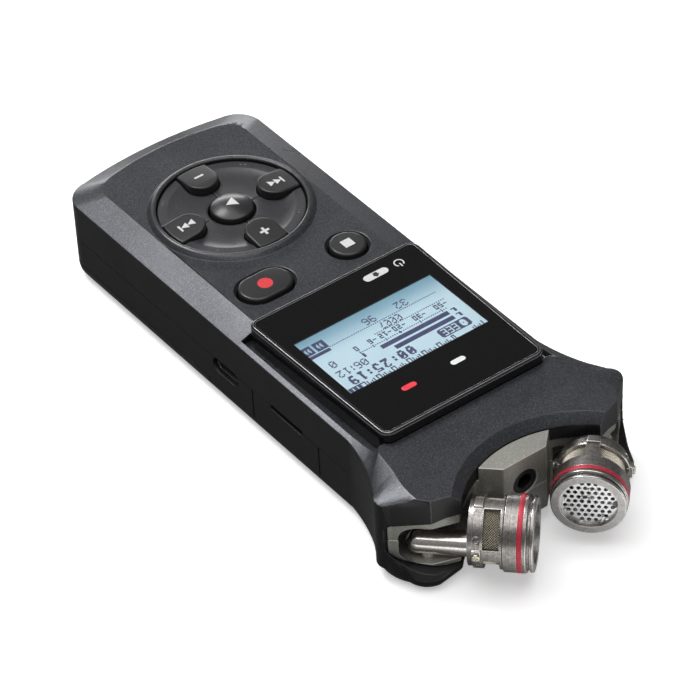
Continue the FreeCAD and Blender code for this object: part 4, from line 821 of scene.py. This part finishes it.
for side, way in (("right", 1), ("left", -1)):
    body = side + "_microphone"
    pivot = Vector((*pivots[side + "_mic_swivel"].xy, middle(side + "_mic_front_ring").z))
    angle = way * math.radians(45)
    nickel = turned(side + " turned nickel", pivot, angle, NICKEL_DARK, NICKEL_LIGHT, 0.38, 5200.0, 0.35)
    ring_metal = turned(side + " pale ring", pivot, angle, (0.32, 0.31, 0.30), (0.50, 0.49, 0.48),
                        0.42, 4200.0, 0.18)
    edge_highlight_metal = turned(side + " edge painted highlight", pivot, angle, (0.62, 0.60, 0.57), (0.85, 0.84, 0.82),
                        0.24, 4200.0, 0.05)
    plate_metal = turned(side + " punched plate", pivot, angle, (0.80, 0.80, 0.80), (0.95, 0.95, 0.95),
                         0.38, 3000.0, 0.1)
    arm_metal = turned(side + " arm nickel", pivot, angle, (0.72, 0.69, 0.64), (0.90, 0.87, 0.82),
                       0.24, 2500.0, 0.04)
    # Rounded edges of the back cap, cage and front ring get a much lighter metal, a painted highlight.
    eased(side + "_mic_back_cap", [nickel, edge_highlight_metal], 0.10 * MM, edge_finish=1)
    eased(side + "_mic_cage", [nickel, edge_highlight_metal], 0.08 * MM, edge_finish=1)
    ring = eased(side + "_mic_front_ring", [nickel, ring_metal, edge_highlight_metal], 0.06 * MM, edge_finish=2)
    forward = Vector((-math.sin(angle), math.cos(angle), 0))
    paint_where(ring, 1, lambda face: face.material_index == 0 and face.normal.dot(forward) > 0.9)
    band_runs = [point.y for point in on_axis(side + "_mic_band", pivot, angle)]
    band_start, band_end = min(band_runs), max(band_runs)
    bpy.ops.mesh.primitive_cylinder_add(vertices=144, radius=band_radius, depth=band_end - band_start,
                                        end_fill_type="NOTHING",
                                        location=(0, (band_start + band_end) / 2, 0),
                                        rotation=(math.pi / 2, 0, 0))
    band = bpy.context.object
    band.name = side + "_mic_colour_band"
    bpy.ops.object.transform_apply(location=True, rotation=True)
    inward = band.modifiers.new("inward", "SOLIDIFY")
    inward.thickness = 0.3 * MM
    bpy.ops.object.modifier_apply(modifier="inward")
    soft = band.modifiers.new("soft", "BEVEL")
    soft.width = 0.05 * MM
    soft.segments = 2
    soft.limit_method = "ANGLE"
    soft.angle_limit = math.radians(60)
    bpy.ops.object.modifier_apply(modifier="soft")
    bpy.ops.object.shade_smooth_by_angle(angle=math.radians(35))
    place_on_mic(band, pivot, angle)
    band.data.materials.append(crimson)
    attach(band, body)
    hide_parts(side + "_mic_band")
    eased(side + "_mic_grille", [plate_metal], 0.0)
    eased(side + "_mic_arm", [arm_metal], 0.0)
    eased(side + "_mic_capsule", [capsule_black], 0.0)
    tube_points = on_axis(side + "_mic_mesh", pivot, angle)
    tube_radius = max(math.hypot(point.x, point.z) for point in tube_points)
    tube_start = min(point.y for point in tube_points)
    tube_end = max(point.y for point in tube_points)
    screen = woven_screen(side + "_mic_screen", tube_radius - 0.08 * MM, tube_start, tube_end, 0.17 * MM)
    place_on_mic(screen, pivot, angle)
    screen.data.materials.append(screen_wire)
    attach(screen, body)
    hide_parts(side + "_mic_mesh")
    # A black sleeve just inside the screen, a painted shade that darkens the gaps between the wires.
    dark_sleeve = shade_sleeve(side + "_mic_shade_sleeve", tube_radius - 0.30 * MM, tube_start, tube_end)
    place_on_mic(dark_sleeve, pivot, angle)
    dark_sleeve.data.materials.append(sleeve_shade_black)
    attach(dark_sleeve, body)
    heads = []
    for turn in (62, 118, -62, -118):
        head = pan_screw(side + "_cap_screw", 0.70 * MM, 0.60 * MM)
        out = Vector((math.sin(math.radians(turn)), 0, math.cos(math.radians(turn))))
        seat = out * cap_screw_seat + Vector((0, flange_middle, 0))
        head.matrix_world = Matrix.Translation(seat) @ out.to_track_quat("Z", "Y").to_matrix().to_4x4()
        heads.append(head)
    tab_screws = []
    for across in (-1, 1):
        head = pan_screw(side + "_tab_screw", 0.95 * MM, 0.55 * MM)
        out = Vector((across, 0, 0))
        seat = out * (tab_top - 0.1 * MM) + Vector((0, flange_middle, 0))
        head.matrix_world = Matrix.Translation(seat) @ out.to_track_quat("Z", "Y").to_matrix().to_4x4()
        tab_screws.append(head)
    for group, label, finish in (
            (heads, "_mic_screw_heads", nickel),
            (tab_screws, "_mic_tab_screws", screw_bright)):
        pick(*group)
        bpy.ops.object.join()
        joined = bpy.context.object
        joined.name = side + label
        bpy.ops.object.transform_apply(location=True, rotation=True, scale=True)
        place_on_mic(joined, pivot, angle)
        joined.data.materials.append(finish)
        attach(joined, body)
        if group is heads:
            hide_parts(side + "_mic_screws")

# ---- sockets and side controls ------------------------------------------------------------
# Tinned steel USB shell, card socket and memory card in the right wall; rocker, hold slider
# and headphone socket in the left wall; microphone socket in the nose. All sit in the case.
socket_steel = grained("tinned steel", (0.35, 0.35, 0.36), (0.62, 0.62, 0.63), 2000, 0.3, 0.30, metal=1.0,
                       bump=0.05)
socket_black = grained("socket black", (0.006, 0.006, 0.006), (0.014, 0.014, 0.015), 1500, 0.1, 0.4)
card_black = grained("card black", (0.012, 0.012, 0.014), (0.03, 0.03, 0.033), 2500, 0.2, 0.45)
side_black = grained("side key black", (0.014, 0.014, 0.015), (0.030, 0.030, 0.032), 2400, 0.25, 0.34)
eased("usb_port", [socket_steel], 0.06 * MM)
eased("mic_jack", [socket_black], 0.15 * MM)
eased("headphone_jack", [socket_black], 0.15 * MM)
eased("volume_rocker", [side_black], 0.12 * MM)
eased("hold_slider", [side_black], 0.08 * MM)
eased("memory_card", [card_black], 0.08 * MM)
repaint(socket_steel, "card_socket")

# ---- tripod bush, loudspeaker and screws ------------------------------------------------------
# Seen from the back: a turned brass thread bush, a paper loudspeaker behind its slots and the
# four black screws that hold the two case halves together.
bush_brass = grained("turned brass", (0.50, 0.36, 0.14), (0.78, 0.62, 0.32), 1600, 0.3, 0.30, metal=1.0,
                     bump=0.08)
cone_black = grained("speaker paper", (0.010, 0.010, 0.010), (0.025, 0.025, 0.024), 1400, 0.4, 0.7, bump=0.3)
screw_black = grained("black zinc", (0.05, 0.05, 0.055), (0.12, 0.12, 0.13), 1500, 0.3, 0.32, metal=0.9,
                      bump=0.05)
eased("tripod_bush", [bush_brass], 0.15 * MM)
eased("case_screws", [screw_black], 0.08 * MM)
repaint(cone_black, "speaker")
repaint(screw_black, "board_screws")

# ---- power and boards -----------------------------------------------------------------------
# Two AA cells with plain sleeves in a black tray with nickel contacts, the key board under the
# silicone mat, and the main board in the back half. Seen only when the door slides off.
cell_sleeve = grained("cell sleeve", (0.03, 0.03, 0.035), (0.10, 0.10, 0.11), 900, 0.2, 0.25, metal=0.6,
                      bump=0.02)
contact_nickel = grained("contact nickel", (0.5, 0.5, 0.48), (0.72, 0.72, 0.70), 1500, 0.2, 0.25, metal=1.0)
board_green = grained("green board", (0.008, 0.07, 0.03), (0.02, 0.13, 0.06), 1200, 0.3, 0.4, bump=0.15)
mat_grey = grained("silicone mat", (0.05, 0.05, 0.055), (0.09, 0.09, 0.095), 1500, 0.2, 0.6)
repaint(cell_sleeve, "battery_cells")
repaint(contact_nickel, "battery_contacts")
repaint(satin_black_with_shade, "battery_tray")
repaint(board_green, "main_board", "key_board")
repaint(mat_grey, "key_mat")

# ---- floor and light --------------------------------------------------------------------------
# White table in a dim studio. One wide soft box hangs overhead and lights the face and the
# metal, a smaller one past the base end lights the bevels, and a low strip draws the base rim.
# The table shows white to the camera but darker to the recorder, so its black walls stay dark.
bpy.ops.mesh.primitive_plane_add(size=4, location=(0, 0, 0))
floor = bpy.context.object
floor.name = "floor"
floor_white = bpy.data.materials.new("white table")
floor_white.use_nodes = True
tree = floor_white.node_tree
shader = tree.nodes["Principled BSDF"]
seen = put(tree, "LightPath").outputs["Is Camera Ray"]
spread_out = put(tree, "SeparateXYZ")
tree.links.new(put(tree, "TexCoord").outputs["Object"], spread_out.inputs[0])
TABLE_WHITE = 0.92
TABLE_DARK = 0.10
TABLE_GLOW = 0.45
table_reach = put(tree, "MapRange", From_Min=0.068, From_Max=0.090, To_Min=TABLE_DARK, To_Max=TABLE_WHITE)
tree.links.new(spread_out.outputs["Y"], table_reach.inputs[0])
table_tone = put(tree, "Mix", data_type="FLOAT")
table_tone.inputs[3].default_value = TABLE_WHITE
tree.links.new(seen, table_tone.inputs[0])
tree.links.new(table_reach.outputs[0], table_tone.inputs[2])
tree.links.new(table_tone.outputs[0], shader.inputs["Base Color"])
shader.inputs["Roughness"].default_value = 1.0
shader.inputs["Specular IOR Level"].default_value = 0.0
shader.inputs["Emission Color"].default_value = (1, 1, 1, 1)
lit_table = put(tree, "Math", operation="MULTIPLY")
lit_table.inputs[1].default_value = TABLE_GLOW
tree.links.new(table_tone.outputs[0], lit_table.inputs[0])
tree.links.new(lit_table.outputs[0], shader.inputs["Emission Strength"])
floor.data.materials.append(floor_white)


def soft_panel(name, place, across, along, watts):
    bpy.ops.object.light_add(type="AREA", location=place)
    panel = bpy.context.object
    panel.name = name
    panel.data.shape = "RECTANGLE"
    panel.data.size = across
    panel.data.size_y = along
    panel.data.energy = watts
    panel.rotation_euler = (-Vector(place)).to_track_quat("-Z", "Y").to_euler()


soft_panel("overhead_box", (0.10, 0.05, 1.0), 1.20, 1.10, 7.5)
soft_panel("bevel_box", (0.09, -0.56, 0.84), 0.34, 0.30, 3.8)
soft_panel("base_strip", (-0.42, -0.86, 0.20), 0.6, 0.20, 2.6)
world = bpy.data.worlds.new("dim studio")
world.use_nodes = True
tree = world.node_tree
direction = put(tree, "SeparateXYZ")
tree.links.new(put(tree, "TexCoord").outputs["Object"], direction.inputs[0])
height = put(tree, "MapRange", From_Min=0.0, From_Max=1.0, To_Min=0.12, To_Max=0.30)
tree.links.new(direction.outputs["Z"], height.inputs[0])
tree.links.new(height.outputs[0], tree.nodes["Background"].inputs["Strength"])
tree.nodes["Background"].inputs["Color"].default_value = (1, 1, 1, 1)
bpy.context.scene.world = world
bpy.context.scene.view_settings.view_transform = "Standard"
